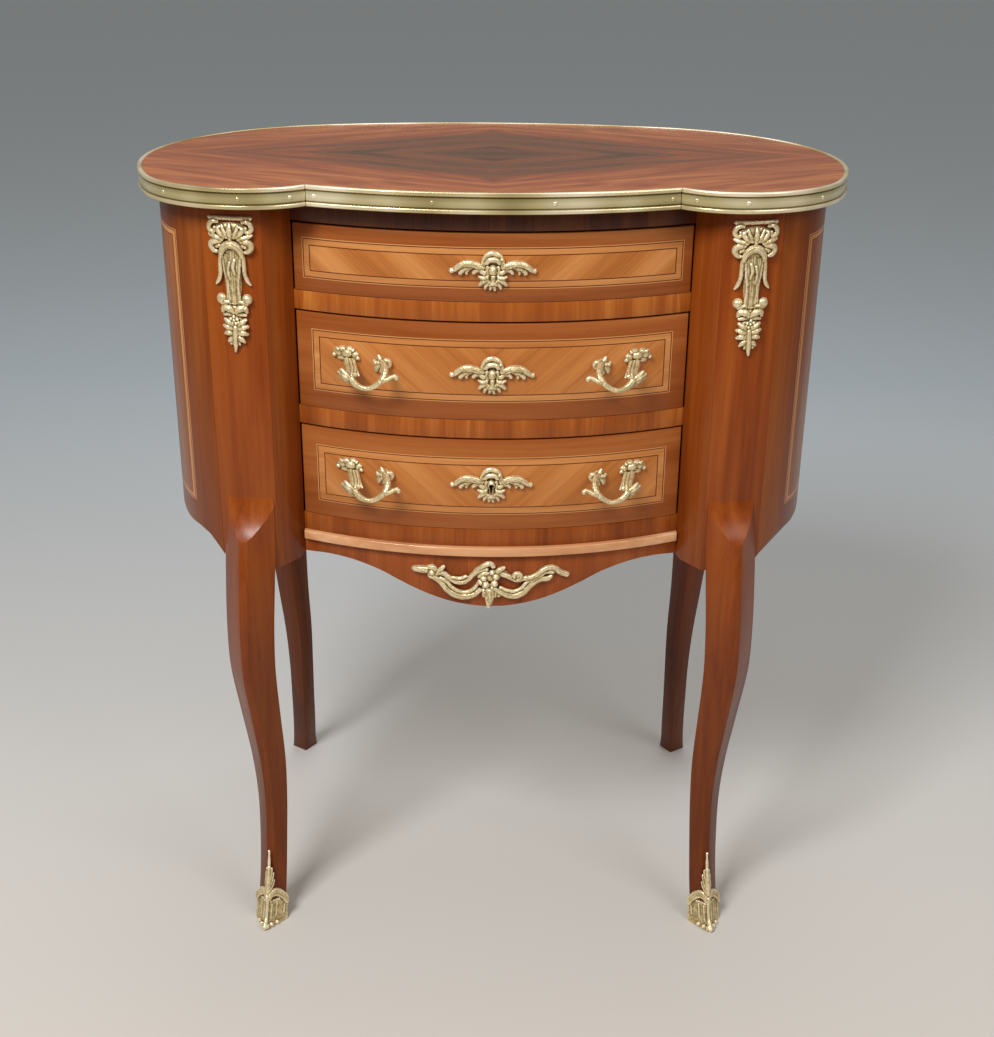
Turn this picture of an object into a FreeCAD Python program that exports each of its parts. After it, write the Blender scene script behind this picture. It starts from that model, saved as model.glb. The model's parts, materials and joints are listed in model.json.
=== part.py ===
import FreeCAD, Part
import math
import os

# A small kidney-shaped chest with three bowed drawers on four cabriole legs.
# Frame: millimetres, +Z up, +X to the viewer's right, +Y to the back of the chest.
# The origin lies on the floor, under the middle of the box that holds the whole chest.

Vector = FreeCAD.Vector
os.makedirs("parts", exist_ok=True)
doc = FreeCAD.newDocument("dressing_chest")

# Driving dimensions, in millimetres and degrees.
SIZES = {
    # the plan: the widths from the middle of the front outwards, then its depth and curves
    "opening_width": 352.0,
    "stile_width": 21.0,
    "post_width": 53.0,
    "side_reach": 58.0,
    "overhang": 17.0,
    "total_height": 746.0,
    "rim_bow_radius": 445.0,
    "bow_radius": 410.0,
    "lobe_offset": 11.0,
    "lobe_setback": 10.5,
    "lobe_inner_radius": 75.0,
    "lobe_margin": 11.5,
    "side_run": 42.85,
    "back_radius": 700.0,
    "back_joint_inset": 0.7,
    # the top board and its brass edge
    "rim_height": 18.0,
    "rim_thickness": 4.0,
    "rim_bead": 3.6,
    "rim_recess": 1.1,
    "rim_lip": 1.0,
    "veneer_thickness": 1.0,
    "pin_radius": 1.5,
    "pin_head": 0.9,
    # heights down the front
    "rail_height": 17.2,
    "drawer_1_height": 61.4,
    "drawer_2_height": 90.2,
    "drawer_3_height": 89.0,
    "moulding_height": 8.5,
    "moulding_depth": 5.0,
    "side_lift": 2.4,
    # posts, panels and boards
    "post_depth": 54.5,
    "rear_post_depth": 23.0,
    "panel_thickness": 14.0,
    "back_thickness": 12.0,
    "board_thickness": 9.0,
    "bottom_board_thickness": 12.0,
    "board_clearance": 0.3,
    "stile_foot_drop": 6.5,
    "back_rail_depth": 20.0,
    # aprons
    "apron_thickness": 18.0,
    "apron_peak_inset": 24.0,
    "apron_drop": 40.0,
    "apron_peak_gap": 13.0,
    # legs
    "leg_margin": 1.8,
    "leg_setback": 8.5,
    "leg_turn": 10.0,
    "leg_swing": 26.0,
    "leg_side_swing": 10.0,
    "spear_rise": 3.0,
    "spear_length": 44.0,
    "rear_leg_shift": 4.0,
    "sweep_drop": 21.0,
    "sole_thickness": 3.0,
    # drawers
    "drawer_gap_top": 1.8,
    "drawer_gap_bottom": 0.4,
    "drawer_gap_side": 1.5,
    "front_thickness": 18.0,
    "drawer_side_clearance": 5.0,
    "drawer_side": 9.0,
    "drawer_rear_gap": 8.8,
    "drawer_bottom": 5.0,
    "drawer_bottom_rise": 6.0,
    "drawer_side_drop": 9.0,
    "guide_height": 12.0,
    "guide_gap": 1.0,
    # gilt mounts
    "mount_thickness": 5.0,
    "escutcheon_width": 76.0,
    "escutcheon_height": 36.0,
    "escutcheon_1_rise": 12.6,
    "escutcheon_2_rise": 27.6,
    "keyhole_drop": 44.4,
    "keyhole_radius": 2.6,
    "keyhole_slot": 7.0,
    "chute_width": 40.0,
    "chute_height": 121.0,
    "chute_drop": 8.0,
    "chute_thickness": 6.0,
    "apron_mount_length": 144.0,
    "apron_mount_height": 49.0,
    "apron_mount_rise": 2.5,
    "sabot_height": 78.0,
    "sabot_cup": 34.0,
    "sabot_wall": 2.4,
    "sabot_toe": 6.6,
    # handles
    "handle_inset": 41.0,
    "handle_span": 32.0,
    "handle_rise": 55.0,
    "handle_pad_step": 4.5,
    "handle_outer_pad": 24.0,
    "handle_inner_pad": 14.0,
    "handle_pad_height": 15.0,
    "handle_pad_thickness": 4.0,
    "handle_drop": 25.0,
    "handle_reach": 22.0,
    "handle_grip_radius": 2.6,
    "handle_tip_radius": 3.6,
    "handle_tip_reach": 14.0,
    "stud_radius": 2.0,
    "stud_hole_radius": 2.3,
    "nut_radius": 5.0,
    "nut_thickness": 3.0,
    # lock in the bottom drawer
    "lock_width": 46.0,
    "lock_height": 52.0,
    "lock_depth": 11.0,
    "lock_wall": 1.5,
    "bolt_width": 18.0,
    "bolt_thickness": 5.0,
    "bolt_length": 26.0,
    "bolt_clearance": 0.4,
    "bolt_travel": 8.0,
    "bolt_top_gap": 0.8,
    # screws that hold the top
    "screw_radius": 2.0,
    "screw_head_radius": 3.6,
    "screw_head": 2.4,
    "screw_bite": 8.0,
    "screw_spacing": 120.0,
    # one overrun serves every cut
    "overrun": 60.0,
}

sheet = doc.addObject("Spreadsheet::Sheet", "sizes")
for row, (alias, number) in enumerate(SIZES.items(), start=1):
    sheet.set("A%d" % row, alias)
    sheet.set("B%d" % row, str(number))
    sheet.setAlias("B%d" % row, alias)
doc.recompute()


def size(alias):
    """A driving dimension, read back from the sheet."""
    return float(getattr(sheet, alias))


# Stations up a cabriole leg: share of the height, of the side swing, of the fore and aft
# swing and of the half diagonal, of a front leg and of a rear one.
LEG_SHARES = [
    (0.0, 0.74, 1.0, 0.63, 0.60),
    (0.03, 0.68, 0.86, 0.60, 0.56),
    (0.11, 0.49, 0.50, 0.585, 0.55),
    (0.20, 0.38, 0.20, 0.59, 0.55),
    (0.31, 0.31, 0.0, 0.63, 0.57),
    (0.42, 0.44, 0.02, 0.715, 0.63),
    (0.55, 0.89, 0.18, 0.825, 0.72),
    (0.68, 1.25, 0.42, 0.93, 0.84),
    (0.80, 1.12, 0.60, 0.965, 0.93),
    (0.91, 0.92, 0.47, 0.99, 0.98),
]
# The leg swells into its post: shares of the half diagonal at the front, outer, back and
# inner corners, with the height as a share of the spear.
KNEE_SHARES = [
    (0.0, 1.0, 0.90, 1.35, 1.0),
    (0.6, 1.0, 0.80, 1.45, 0.85),
    (1.1, 1.0, 0.70, 1.45, 0.70),
]
KNEE_SIDE_SHARE = 0.8
KNEE_SWING_SHARE = 0.23

# Levels and places that follow from the driving dimensions, as formulas of a second sheet.
FORMULAS = {
    "body_top": "sizes.total_height - sizes.rim_height",
    "drawer_1_top": "body_top - sizes.rail_height",
    "drawer_1_bottom": "drawer_1_top - sizes.drawer_1_height",
    "drawer_2_top": "drawer_1_bottom - sizes.rail_height",
    "drawer_2_bottom": "drawer_2_top - sizes.drawer_2_height",
    "drawer_3_top": "drawer_2_bottom - sizes.rail_height",
    "drawer_3_bottom": "drawer_3_top - sizes.drawer_3_height",
    "bottom_rail_bottom": "drawer_3_bottom - sizes.rail_height",
    "moulding_bottom": "bottom_rail_bottom - sizes.moulding_height",
    "side_bottom": "bottom_rail_bottom + sizes.side_lift",
    "post_height": "body_top - side_bottom",
    "opening_half": "sizes.opening_width / 2",
    "post_inner": "opening_half + sizes.stile_width",
    "post_outer": "post_inner + sizes.post_width",
    "half_width": "post_outer + sizes.side_reach + sizes.overhang",
    "lobe_middle": "post_inner + sizes.lobe_offset",
    "leg_half_diagonal": "sizes.post_width / 2 - sizes.leg_margin",
    "post_middle": "(post_inner + post_outer) / 2",
    "leg_middle": "post_middle - sizes.leg_side_swing * %s" % KNEE_SIDE_SHARE,
    "toe_reach": "leg_half_diagonal * %s + sizes.sabot_wall + sizes.sabot_toe" % LEG_SHARES[0][3],
    "foot_reach": "sizes.leg_swing + toe_reach * cos(sizes.leg_turn) - sizes.leg_setback"
                  " - sizes.lobe_setback - sizes.overhang",
    "side_depth": "half_width - lobe_middle + sizes.side_run",
    "back_sine": "(opening_half - sizes.back_joint_inset) / sizes.back_radius",
    "back_cosine": "sqrt(1 - back_sine * back_sine)",
    "corner_radius": "(half_width - sizes.back_radius * back_sine) / (1 - back_sine)",
    "top_depth": "sizes.lobe_setback + side_depth + corner_radius * back_cosine"
                 " + sizes.back_radius * (1 - back_cosine)",
    "half_depth": "(top_depth + foot_reach) / 2",
    "rim_front": "half_depth - top_depth",
    "bow_front": "rim_front + sizes.overhang",
    "bow_middle": "bow_front + sizes.bow_radius",
    "lobe_front": "rim_front + sizes.lobe_setback",
    "lobe_crown": "lobe_front + sizes.overhang",
    "post_back": "lobe_crown + sizes.post_depth",
    "drawer_half": "opening_half - sizes.drawer_side_clearance",
    "apron_peak": "opening_half - sizes.apron_peak_inset",
    "handle_outer": "drawer_half - sizes.handle_inset",
    "handle_inner": "handle_outer - sizes.handle_span",
    "keyhole_level": "drawer_3_top - sizes.keyhole_drop",
    "apron_peak_level": "moulding_bottom - sizes.apron_peak_gap",
    "stile_foot": "apron_peak_level - sizes.stile_foot_drop",
    "sweep_bottom": "side_bottom - sizes.sweep_drop",
    "veneer_bottom": "sizes.total_height - sizes.rim_lip - sizes.veneer_thickness",
}
levels = doc.addObject("Spreadsheet::Sheet", "levels")
for row, (alias, formula) in enumerate(FORMULAS.items(), start=1):
    levels.set("A%d" % row, alias)
    levels.set("B%d" % row, "=" + formula)
    levels.setAlias("B%d" % row, alias)
doc.recompute()


def level(alias):
    """A place that follows from the driving dimensions."""
    return float(getattr(levels, alias))


parts = []


def circle_y(centre, radius, x, front=True):
    """The y of a circle at x, on its front or its back half."""
    reach = math.sqrt(radius * radius - (x - centre[0]) ** 2)
    return centre[1] - reach if front else centre[1] + reach


def towards(start, end, length):
    """The point at a length from start in the direction of end."""
    span = math.hypot(end[0] - start[0], end[1] - start[1])
    return (start[0] + (end[0] - start[0]) * length / span,
            start[1] + (end[1] - start[1]) * length / span)


def arc_to(start, end, centre):
    """An arc step of an outline: its middle point and its end."""
    radius = math.hypot(start[0] - centre[0], start[1] - centre[1])
    chord = ((start[0] + end[0]) / 2, (start[1] + end[1]) / 2)
    return (towards(centre, chord, radius), end)


class Plan:
    """Half of the outline of the top, set in from its edge by a distance."""

    def __init__(self, inset):
        half = level("half_width")
        sine, cosine = level("back_sine"), level("back_cosine")
        back, corner = size("back_radius"), level("corner_radius")
        self.back_c = (0.0, level("half_depth") - back)
        self.back_r = back - inset
        self.corner_c = (half - corner, self.back_c[1] + (back - corner) * cosine)
        self.corner_r = corner - inset
        # the lobe's outer arc and the side arc share a tangent where they meet
        across = half - level("lobe_middle")
        along = level("side_depth")
        side = along + (across - along) ** 2 / (2 * size("lobe_margin"))
        lobe = across - size("lobe_margin")
        self.side_c = (half - side, self.corner_c[1])
        self.side_r = side - inset
        self.lobe_c = (level("lobe_middle"), level("lobe_front") + lobe)
        self.lobe_r = lobe - inset
        self.inner_c = (level("lobe_middle"), level("lobe_front") + size("lobe_inner_radius"))
        self.inner_r = size("lobe_inner_radius") - inset
        self.bow_c = (0.0, level("rim_front") + size("rim_bow_radius"))
        self.bow_r = size("rim_bow_radius") - inset
        self.crown = (level("lobe_middle"), level("lobe_front") + inset)
        self.lobe_joint = towards(self.side_c, self.lobe_c, self.side_r)
        self.side = (half - inset, self.side_c[1])
        self.back_joint = (self.back_r * sine, self.back_c[1] + self.back_r * cosine)
        self.cusp = self.meet(self.bow_c, self.bow_r, self.inner_c, self.inner_r)

    @staticmethod
    def meet(first, first_r, second, second_r):
        """The front crossing of two circles."""
        span = math.hypot(second[0] - first[0], second[1] - first[1])
        along = (first_r ** 2 - second_r ** 2 + span ** 2) / (2 * span)
        off = math.sqrt(first_r ** 2 - along ** 2)
        ux, uy = (second[0] - first[0]) / span, (second[1] - first[1]) / span
        return (first[0] + along * ux - off * abs(uy), first[1] + along * uy - off * ux)

    def steps_to_back(self):
        """Steps along the outline from the cusp round the lobe and side to the back joint."""
        return [arc_to(self.cusp, self.crown, self.inner_c),
                arc_to(self.crown, self.lobe_joint, self.lobe_c),
                arc_to(self.lobe_joint, self.side, self.side_c),
                arc_to(self.side, self.back_joint, self.corner_c)]


def reverse(start, steps):
    """The same outline walked from its end back to its start."""
    ends = [start] + [step[1] if isinstance(step[0], tuple) else step for step in steps]
    back = []
    for index in range(len(steps) - 1, -1, -1):
        step = steps[index]
        back.append((step[0], ends[index]) if isinstance(step[0], tuple) else ends[index])
    return ends[-1], back


def mirrored(point, side):
    """A plan point on the right (side 1) or the left (side -1)."""
    return Vector(point[0] * side, point[1], 0)


def edges_of(start, steps, side=1):
    """Line and arc geometry of a closed outline. A step is a point, or a middle and an end."""
    geometry = []
    here = start
    for step in steps:
        curved = isinstance(step[0], tuple)
        end = step[1] if curved else step
        if curved:
            geometry.append(Part.Arc(mirrored(here, side), mirrored(step[0], side),
                                     mirrored(end, side)))
        else:
            geometry.append(Part.LineSegment(mirrored(here, side), mirrored(end, side)))
        here = end
    return geometry


def new_body(name):
    """A named body that is one sub-part."""
    body = doc.addObject("PartDesign::Body", name)
    body.Label = name
    parts.append(body)
    return body


def origin_plane(body, role):
    """One of the body's own origin planes."""
    for feature in body.Origin.OriginFeatures:
        if feature.Role == role:
            return feature


def sketch_on(body, name, geometry, height=None, role="XY_Plane"):
    """A sketch on an origin plane, lifted by a formula."""
    sketch = body.newObject("Sketcher::SketchObject", name)
    sketch.AttachmentSupport = [(origin_plane(body, role), "")]
    sketch.MapMode = "FlatFace"
    for item in geometry:
        sketch.addGeometry(item, False)
    if height is not None:
        sketch.setExpression("AttachmentOffset.Base.z", height)
    return sketch


def pad_on(body, name, geometry, height, length):
    """A pad of an outline that stands on a level."""
    pad = body.newObject("PartDesign::Pad", name)
    pad.Profile = sketch_on(body, name + "_sketch", geometry, height)
    pad.setExpression("Length", length)
    return pad


def cut_through(body, name, geometry, role):
    """A pocket through the whole body, both ways from an origin plane."""
    pocket = body.newObject("PartDesign::Pocket", name)
    pocket.Profile = sketch_on(body, name + "_sketch", geometry, None, role)
    pocket.Type = "ThroughAll"
    pocket.SideType = "Symmetric"
    return pocket


def plan_piece(name, start, steps, height, length, side=1):
    """A sub-part that is one outline in plan, with flat top and bottom."""
    body = new_body(name)
    pad_on(body, name + "_pad", edges_of(start, steps, side), height, length)
    return body


def box_piece(name, low, spans):
    """A board with square ends, its corner and its spans given by formulas."""
    box = doc.addObject("Part::Box", name)
    box.Label = name
    for axis, text in zip(("x", "y", "z"), low):
        box.setExpression("Placement.Base." + axis, text)
    for edge, text in zip(("Length", "Width", "Height"), spans):
        box.setExpression(edge, text)
    parts.append(box)
    return box


def shape_piece(name, shape):
    """A casting or a set of small solids whose form is drawn in space."""
    feature = doc.addObject("Part::Feature", name)
    feature.Label = name
    feature.Shape = shape
    parts.append(feature)
    return feature


BODY = Plan(size("overhang"))
PANEL = Plan(size("overhang") + size("panel_thickness"))
BACK = Plan(size("overhang") + size("back_thickness"))
BOW = (0.0, level("bow_middle"))


def bow_y(x, out=0.0):
    """The y of the bowed drawer faces at x, or of a face that stands out from them."""
    return circle_y(BOW, size("bow_radius") + out, x)


def side_name(side):
    return "right" if side > 0 else "left"


# The top: a board, its veneer and the brass edge in four lengths.

def top_outline(inset):
    """The whole outline of the top, set in, from the left cusp round the front."""
    plan = Plan(inset)
    left = (-plan.cusp[0], plan.cusp[1])
    steps = [arc_to(left, plan.cusp, plan.bow_c)] + plan.steps_to_back()
    left_joint = (-plan.back_joint[0], plan.back_joint[1])
    steps.append(arc_to(plan.back_joint, left_joint, plan.back_c))
    back_end, back = reverse(plan.cusp, plan.steps_to_back())
    steps += [((-mid[0], mid[1]), (-end[0], end[1])) for mid, end in back]
    return left, steps


def make_top():
    start, steps = top_outline(size("rim_thickness"))
    plan_piece("top_board", start, steps, "levels.body_top",
               "levels.veneer_bottom - levels.body_top")
    plan_piece("top_veneer", start, steps, "levels.veneer_bottom", "sizes.veneer_thickness")


def rim_front_band(inset):
    outer, inner = Plan(inset), Plan(size("rim_thickness"))
    left_out, left_in = (-outer.cusp[0], outer.cusp[1]), (-inner.cusp[0], inner.cusp[1])
    return left_out, [arc_to(left_out, outer.cusp, outer.bow_c), inner.cusp,
                      arc_to(inner.cusp, left_in, inner.bow_c), left_out]


def rim_side_band(inset):
    outer, inner = Plan(inset), Plan(size("rim_thickness"))
    end, back = reverse(inner.cusp, inner.steps_to_back())
    return outer.cusp, outer.steps_to_back() + [end] + back + [outer.cusp]


def rim_back_band(inset):
    outer, inner = Plan(inset), Plan(size("rim_thickness"))
    left_out = (-outer.back_joint[0], outer.back_joint[1])
    left_in = (-inner.back_joint[0], inner.back_joint[1])
    return outer.back_joint, [arc_to(outer.back_joint, left_out, outer.back_c), left_in,
                              arc_to(left_in, inner.back_joint, inner.back_c),
                              outer.back_joint]


def make_rim():
    """A brass strip with a bead along its top and bottom edges, in four lengths."""
    lengths = [("rim_front", rim_front_band, 1), ("rim_right", rim_side_band, 1),
               ("rim_left", rim_side_band, -1), ("rim_back", rim_back_band, 1)]
    for name, band, side in lengths:
        body = new_body(name)
        start, steps = band(size("rim_recess"))
        pad_on(body, name + "_strip", edges_of(start, steps, side), "levels.body_top",
               "sizes.rim_height")
        start, steps = band(0.0)
        pad_on(body, name + "_foot", edges_of(start, steps, side), "levels.body_top",
               "sizes.rim_bead")
        pad_on(body, name + "_cap", edges_of(start, steps, side),
               "sizes.total_height - sizes.rim_bead", "sizes.rim_bead")


def pin_solid(place, outward):
    """A round brass pin head on the rim."""
    inside = place - outward * size("pin_head")
    return Part.makeCylinder(size("pin_radius"), 2 * size("pin_head"), inside, outward)


# Places of the pins: shares of the half width of the bow and of the back, and for each
# lobe the arc that a pin sits on and its direction as a share of a right angle.
BOW_PIN_SHARES = [-0.95, -0.32, 0.32, 0.95]
BACK_PIN_SHARES = [-0.8, 0.0, 0.8]
LOBE_PIN_SHARES = [("inner", -1.34), ("lobe", -0.97), ("lobe", -0.51), ("side", -0.06),
                   ("corner", 0.5)]


def make_rim_pins():
    """Pins spread over the bow, the lobes and the back."""
    plan = Plan(size("rim_recess"))
    middle = level("body_top") + size("rim_height") / 2
    places = []
    for share in BOW_PIN_SHARES:
        x = plan.cusp[0] * share
        y = circle_y(plan.bow_c, plan.bow_r, x)
        places.append((x, y, x - plan.bow_c[0], y - plan.bow_c[1]))
    for share in BACK_PIN_SHARES:
        x = plan.back_joint[0] * share
        y = circle_y(plan.back_c, plan.back_r, x, front=False)
        places.append((x, y, x - plan.back_c[0], y - plan.back_c[1]))
    for side in (-1, 1):
        for arc, share in LOBE_PIN_SHARES:
            centre, radius = getattr(plan, arc + "_c"), getattr(plan, arc + "_r")
            turn = share * math.pi / 2
            ux, uy = math.cos(turn), math.sin(turn)
            places.append(((centre[0] + radius * ux) * side, centre[1] + radius * uy,
                           ux * side, uy))
    heads = [pin_solid(Vector(x, y, middle), Vector(ux, uy, 0).normalize())
             for x, y, ux, uy in places]
    shape_piece("rim_pins", Part.makeCompound(heads))


# The carcass: posts with their legs, stiles, rails, panels and boards.

def leg_ankle(end):
    """The middle of the ankle: the front pair (end -1) or the rear pair (end 1)."""
    if end < 0:
        return level("leg_middle"), level("lobe_crown") + size("leg_setback")
    x = level("leg_middle") + size("rear_leg_shift")
    face = circle_y(BODY.corner_c, BODY.corner_r, x + size("leg_side_swing"), front=False)
    return x, face - size("leg_setback")


def leg_quad(end, side_share, swing_share, spans):
    """The four corners of a leg's section: front, outer, back and inner."""
    x, y = leg_ankle(end)
    x += size("leg_side_swing") * side_share
    y += end * size("leg_swing") * swing_share
    turn = math.radians(size("leg_turn"))
    ahead = (math.sin(turn), end * math.cos(turn))
    outward = (math.cos(turn), -end * math.sin(turn))
    front, outer, back, inner = [span * level("leg_half_diagonal") for span in spans]
    return [(x + ahead[0] * front, y + ahead[1] * front),
            (x + outward[0] * outer, y + outward[1] * outer),
            (x - ahead[0] * back, y - ahead[1] * back),
            (x - outward[0] * inner, y - outward[1] * inner)]


def leg_sections(end, base):
    """Heights and corners of a leg, from its foot up into the post."""
    knee = level("side_bottom")
    sections = []
    for height, side_share, swing, front_girth, rear_girth in LEG_SHARES:
        girth = front_girth if end < 0 else rear_girth
        corners = leg_quad(end, side_share, swing, (girth,) * 4)
        sections.append((max(height * knee, base), corners))
    spear = size("spear_rise") + size("spear_length")
    for rise, front, outer, back, inner in KNEE_SHARES:
        corners = leg_quad(end, KNEE_SIDE_SHARE, KNEE_SWING_SHARE, (front, outer, back, inner))
        sections.append((knee + rise * spear, corners))
    return sections


def post_outline(end):
    """The plan of a post, from its inner face round the carcass's outline."""
    inner, outer = level("post_inner"), level("post_outer")
    if end < 0:
        first = (inner, circle_y(BODY.inner_c, BODY.inner_r, inner))
        last = (outer, circle_y(BODY.lobe_c, BODY.lobe_r, outer))
        back = level("post_back")
        return first, [arc_to(first, BODY.crown, BODY.inner_c),
                       arc_to(BODY.crown, last, BODY.lobe_c), (outer, back), (inner, back),
                       first]
    first = (inner, circle_y(BODY.corner_c, BODY.corner_r, inner, front=False))
    last = (outer, circle_y(BODY.corner_c, BODY.corner_r, outer, front=False))
    back = last[1] - size("rear_post_depth")
    return first, [arc_to(first, last, BODY.corner_c), (outer, back), (inner, back), first]


def make_leg(name, side, end):
    """A post and its cabriole leg in one length of wood, with a spear-shaped stop."""
    body = new_body(name)
    base = size("sole_thickness") if end < 0 else 0.0
    sketches = []
    for index, (height, corners) in enumerate(leg_sections(end, base)):
        geometry = edges_of(corners[0], corners[1:] + corners[:1], side)
        sketch = sketch_on(body, "%s_section_%d" % (name, index), geometry)
        sketch.AttachmentOffset = FreeCAD.Placement(Vector(0, 0, height),
                                                    FreeCAD.Rotation())
        sketches.append(sketch)
    loft = body.newObject("PartDesign::AdditiveLoft", name + "_loft")
    loft.Profile = sketches[0]
    loft.Sections = sketches[1:]
    # the sloping stop between the arris of the leg and the canted face of the post
    arris = leg_quad(end, KNEE_SIDE_SHARE, KNEE_SWING_SHARE, (1, 1, 1, 1))[0][1]
    face = leg_face(end)
    tip = level("side_bottom") + size("spear_rise")
    slope = size("spear_length") / abs(arris - face)
    run = size("overrun")
    rise = slope * run
    low = (arris + end * run, tip - rise)
    high = (face - end * run, tip + size("spear_length") + rise)
    wedge = edges_of(low, [high, (low[0], high[1]), low])
    cut_through(body, name + "_stop", wedge, "YZ_Plane")
    start, steps = post_outline(end)
    pad_on(body, name + "_post", edges_of(start, steps, side), "levels.side_bottom",
           "levels.post_height")
    if end < 0:
        for word, outline, low in (("inner_ear", inner_ear(), "levels.stile_foot"),
                                   ("outer_ear", outer_ear(), "levels.sweep_bottom")):
            start, steps = outline
            pad_on(body, name + "_" + word, edges_of(start, steps, side), low,
                   "levels.side_bottom - " + low)
    return body


def inner_ear():
    """Where the post runs down beside the leg, to the foot of the stile."""
    inner, back = level("post_inner"), level("post_back")
    first = (inner, circle_y(BODY.inner_c, BODY.inner_r, inner))
    crown = BODY.crown
    return first, [arc_to(first, crown, BODY.inner_c), (crown[0], back), (inner, back), first]


def outer_ear():
    """Where the post runs down beside the leg, to meet the sweep of the side panel."""
    outer = level("post_outer")
    near = outer - level("leg_half_diagonal") * EAR_SHARE
    first = (near, circle_y(BODY.lobe_c, BODY.lobe_r, near))
    last = (outer, circle_y(BODY.lobe_c, BODY.lobe_r, outer))
    back = circle_y(PANEL.lobe_c, PANEL.lobe_r, outer)
    return first, [arc_to(first, last, BODY.lobe_c), (outer, back), (near, back), first]


EAR_SHARE = 0.5


def leg_face(end):
    """The y of the post's face over the leg."""
    if end < 0:
        return level("lobe_crown")
    x = level("leg_middle") + size("rear_leg_shift") + size("leg_side_swing")
    return circle_y(BODY.corner_c, BODY.corner_r, x, front=False)


def make_stile(side):
    """The upright that returns from the post to the end of the drawers."""
    inner, outer = level("opening_half"), level("post_inner")
    back = level("post_back")
    first = (inner, bow_y(inner))
    face = (outer, circle_y(BODY.inner_c, BODY.inner_r, outer))
    name = "stile_" + side_name(side)
    drop, top = size("stile_foot_drop"), level("apron_peak_level")
    stile = plan_piece(name, first, [face, (outer, back), (inner, back), first],
                       "levels.stile_foot", "levels.body_top - levels.stile_foot",
                       side)
    # the foot slopes down from the apron to the leg
    run = size("overrun")
    rise = run * drop / (outer - inner)
    high, low = (inner - run, top + rise), (outer + run, top - drop - rise)
    cut_through(stile, name + "_foot", edges_of(high, [low, (high[0], low[1]), high], side),
                "XZ_Plane")


def rail_outline():
    """The plan of a rail: bowed in front and straight behind."""
    half, back = level("opening_half"), level("post_back")
    left, right = (-half, bow_y(half)), (half, bow_y(half))
    return left, [arc_to(left, right, BOW), (half, back), (-half, back), left]


def make_rails():
    start, steps = rail_outline()
    for name, bottom in (("top_rail", "levels.drawer_1_top"),
                         ("upper_rail", "levels.drawer_2_top"),
                         ("bottom_rail", "levels.bottom_rail_bottom")):
        plan_piece(name, start, steps, bottom, "sizes.rail_height")
    rail = plan_piece("lower_rail", start, steps, "levels.drawer_3_top", "sizes.rail_height")
    # the mortise that the lock's bolt shoots into
    half = size("bolt_width") / 2 + size("bolt_clearance")
    front = bolt_front() - size("bolt_clearance")
    back = bolt_front() + size("bolt_thickness") + size("bolt_clearance")
    corners = [(half, front), (half, back), (-half, back)]
    pocket = rail.newObject("PartDesign::Pocket", "lower_rail_mortise")
    pocket.Profile = sketch_on(rail, "lower_rail_mortise_sketch",
                               edges_of((-half, front), corners + [(-half, front)]),
                               "levels.drawer_3_top")
    pocket.Reversed = True
    pocket.setExpression("Length", "sizes.bolt_travel + sizes.drawer_gap_top")


def make_panels():
    """The bent side panels and the bowed back, each a thin shell between two posts."""
    x = level("post_outer")
    for side in (-1, 1):
        outer = (x, circle_y(BODY.lobe_c, BODY.lobe_r, x))
        inner = (x, circle_y(PANEL.lobe_c, PANEL.lobe_r, x))
        outer_end = (x, circle_y(BODY.corner_c, BODY.corner_r, x, front=False))
        inner_end = (x, circle_y(PANEL.corner_c, PANEL.corner_r, x, front=False))
        steps = [arc_to(outer, BODY.lobe_joint, BODY.lobe_c),
                 arc_to(BODY.lobe_joint, BODY.side, BODY.side_c),
                 arc_to(BODY.side, outer_end, BODY.corner_c), inner_end,
                 arc_to(inner_end, PANEL.side, PANEL.corner_c),
                 arc_to(PANEL.side, PANEL.lobe_joint, PANEL.side_c),
                 arc_to(PANEL.lobe_joint, inner, PANEL.lobe_c), outer]
        panel = plan_piece("side_panel_" + side_name(side), outer, steps,
                           "levels.side_bottom", "levels.post_height", side)
        sweep_down(panel, side)
    x = level("post_inner")
    right = (x, circle_y(BODY.corner_c, BODY.corner_r, x, front=False))
    right_in = (x, circle_y(BACK.corner_c, BACK.corner_r, x, front=False))
    left, left_in = (-right[0], right[1]), (-right_in[0], right_in[1])
    joint, joint_in = BODY.back_joint, BACK.back_joint
    left_joint, left_joint_in = (-joint[0], joint[1]), (-joint_in[0], joint_in[1])
    left_corner = (-BODY.corner_c[0], BODY.corner_c[1])
    steps = [arc_to(right, joint, BODY.corner_c), arc_to(joint, left_joint, BODY.back_c),
             arc_to(left_joint, left, left_corner), left_in,
             arc_to(left_in, left_joint_in, left_corner),
             arc_to(left_joint_in, joint_in, BACK.back_c),
             arc_to(joint_in, right_in, BACK.corner_c), right]
    plan_piece("back_panel", right, steps, "levels.side_bottom", "levels.post_height")


SWEEP_SHARE = 0.55


def sweep_down(panel, side):
    """The panel's lower edge sweeps down to the front leg."""
    x = level("post_outer")
    far = x + SWEEP_SHARE * (BODY.lobe_joint[0] - x)
    first = (x, circle_y(BODY.lobe_c, BODY.lobe_r, x))
    last = (far, circle_y(BODY.lobe_c, BODY.lobe_r, far))
    last_in = (far, circle_y(PANEL.lobe_c, PANEL.lobe_r, far))
    first_in = (x, circle_y(PANEL.lobe_c, PANEL.lobe_r, x))
    steps = [arc_to(first, last, BODY.lobe_c), last_in,
             arc_to(last_in, first_in, PANEL.lobe_c), first]
    pad_on(panel, panel.Name + "_sweep", edges_of(first, steps, side), "levels.sweep_bottom",
           "sizes.sweep_drop")
    low, high, run = level("sweep_bottom"), level("side_bottom"), size("overrun")
    before = (x - run, low - run * (high - low) / (far - x))
    corners = [(far, high), (far + run, high), (far + run, before[1]), before]
    cut_through(panel, panel.Name + "_slope", edges_of(before, corners, side), "XZ_Plane")


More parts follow.
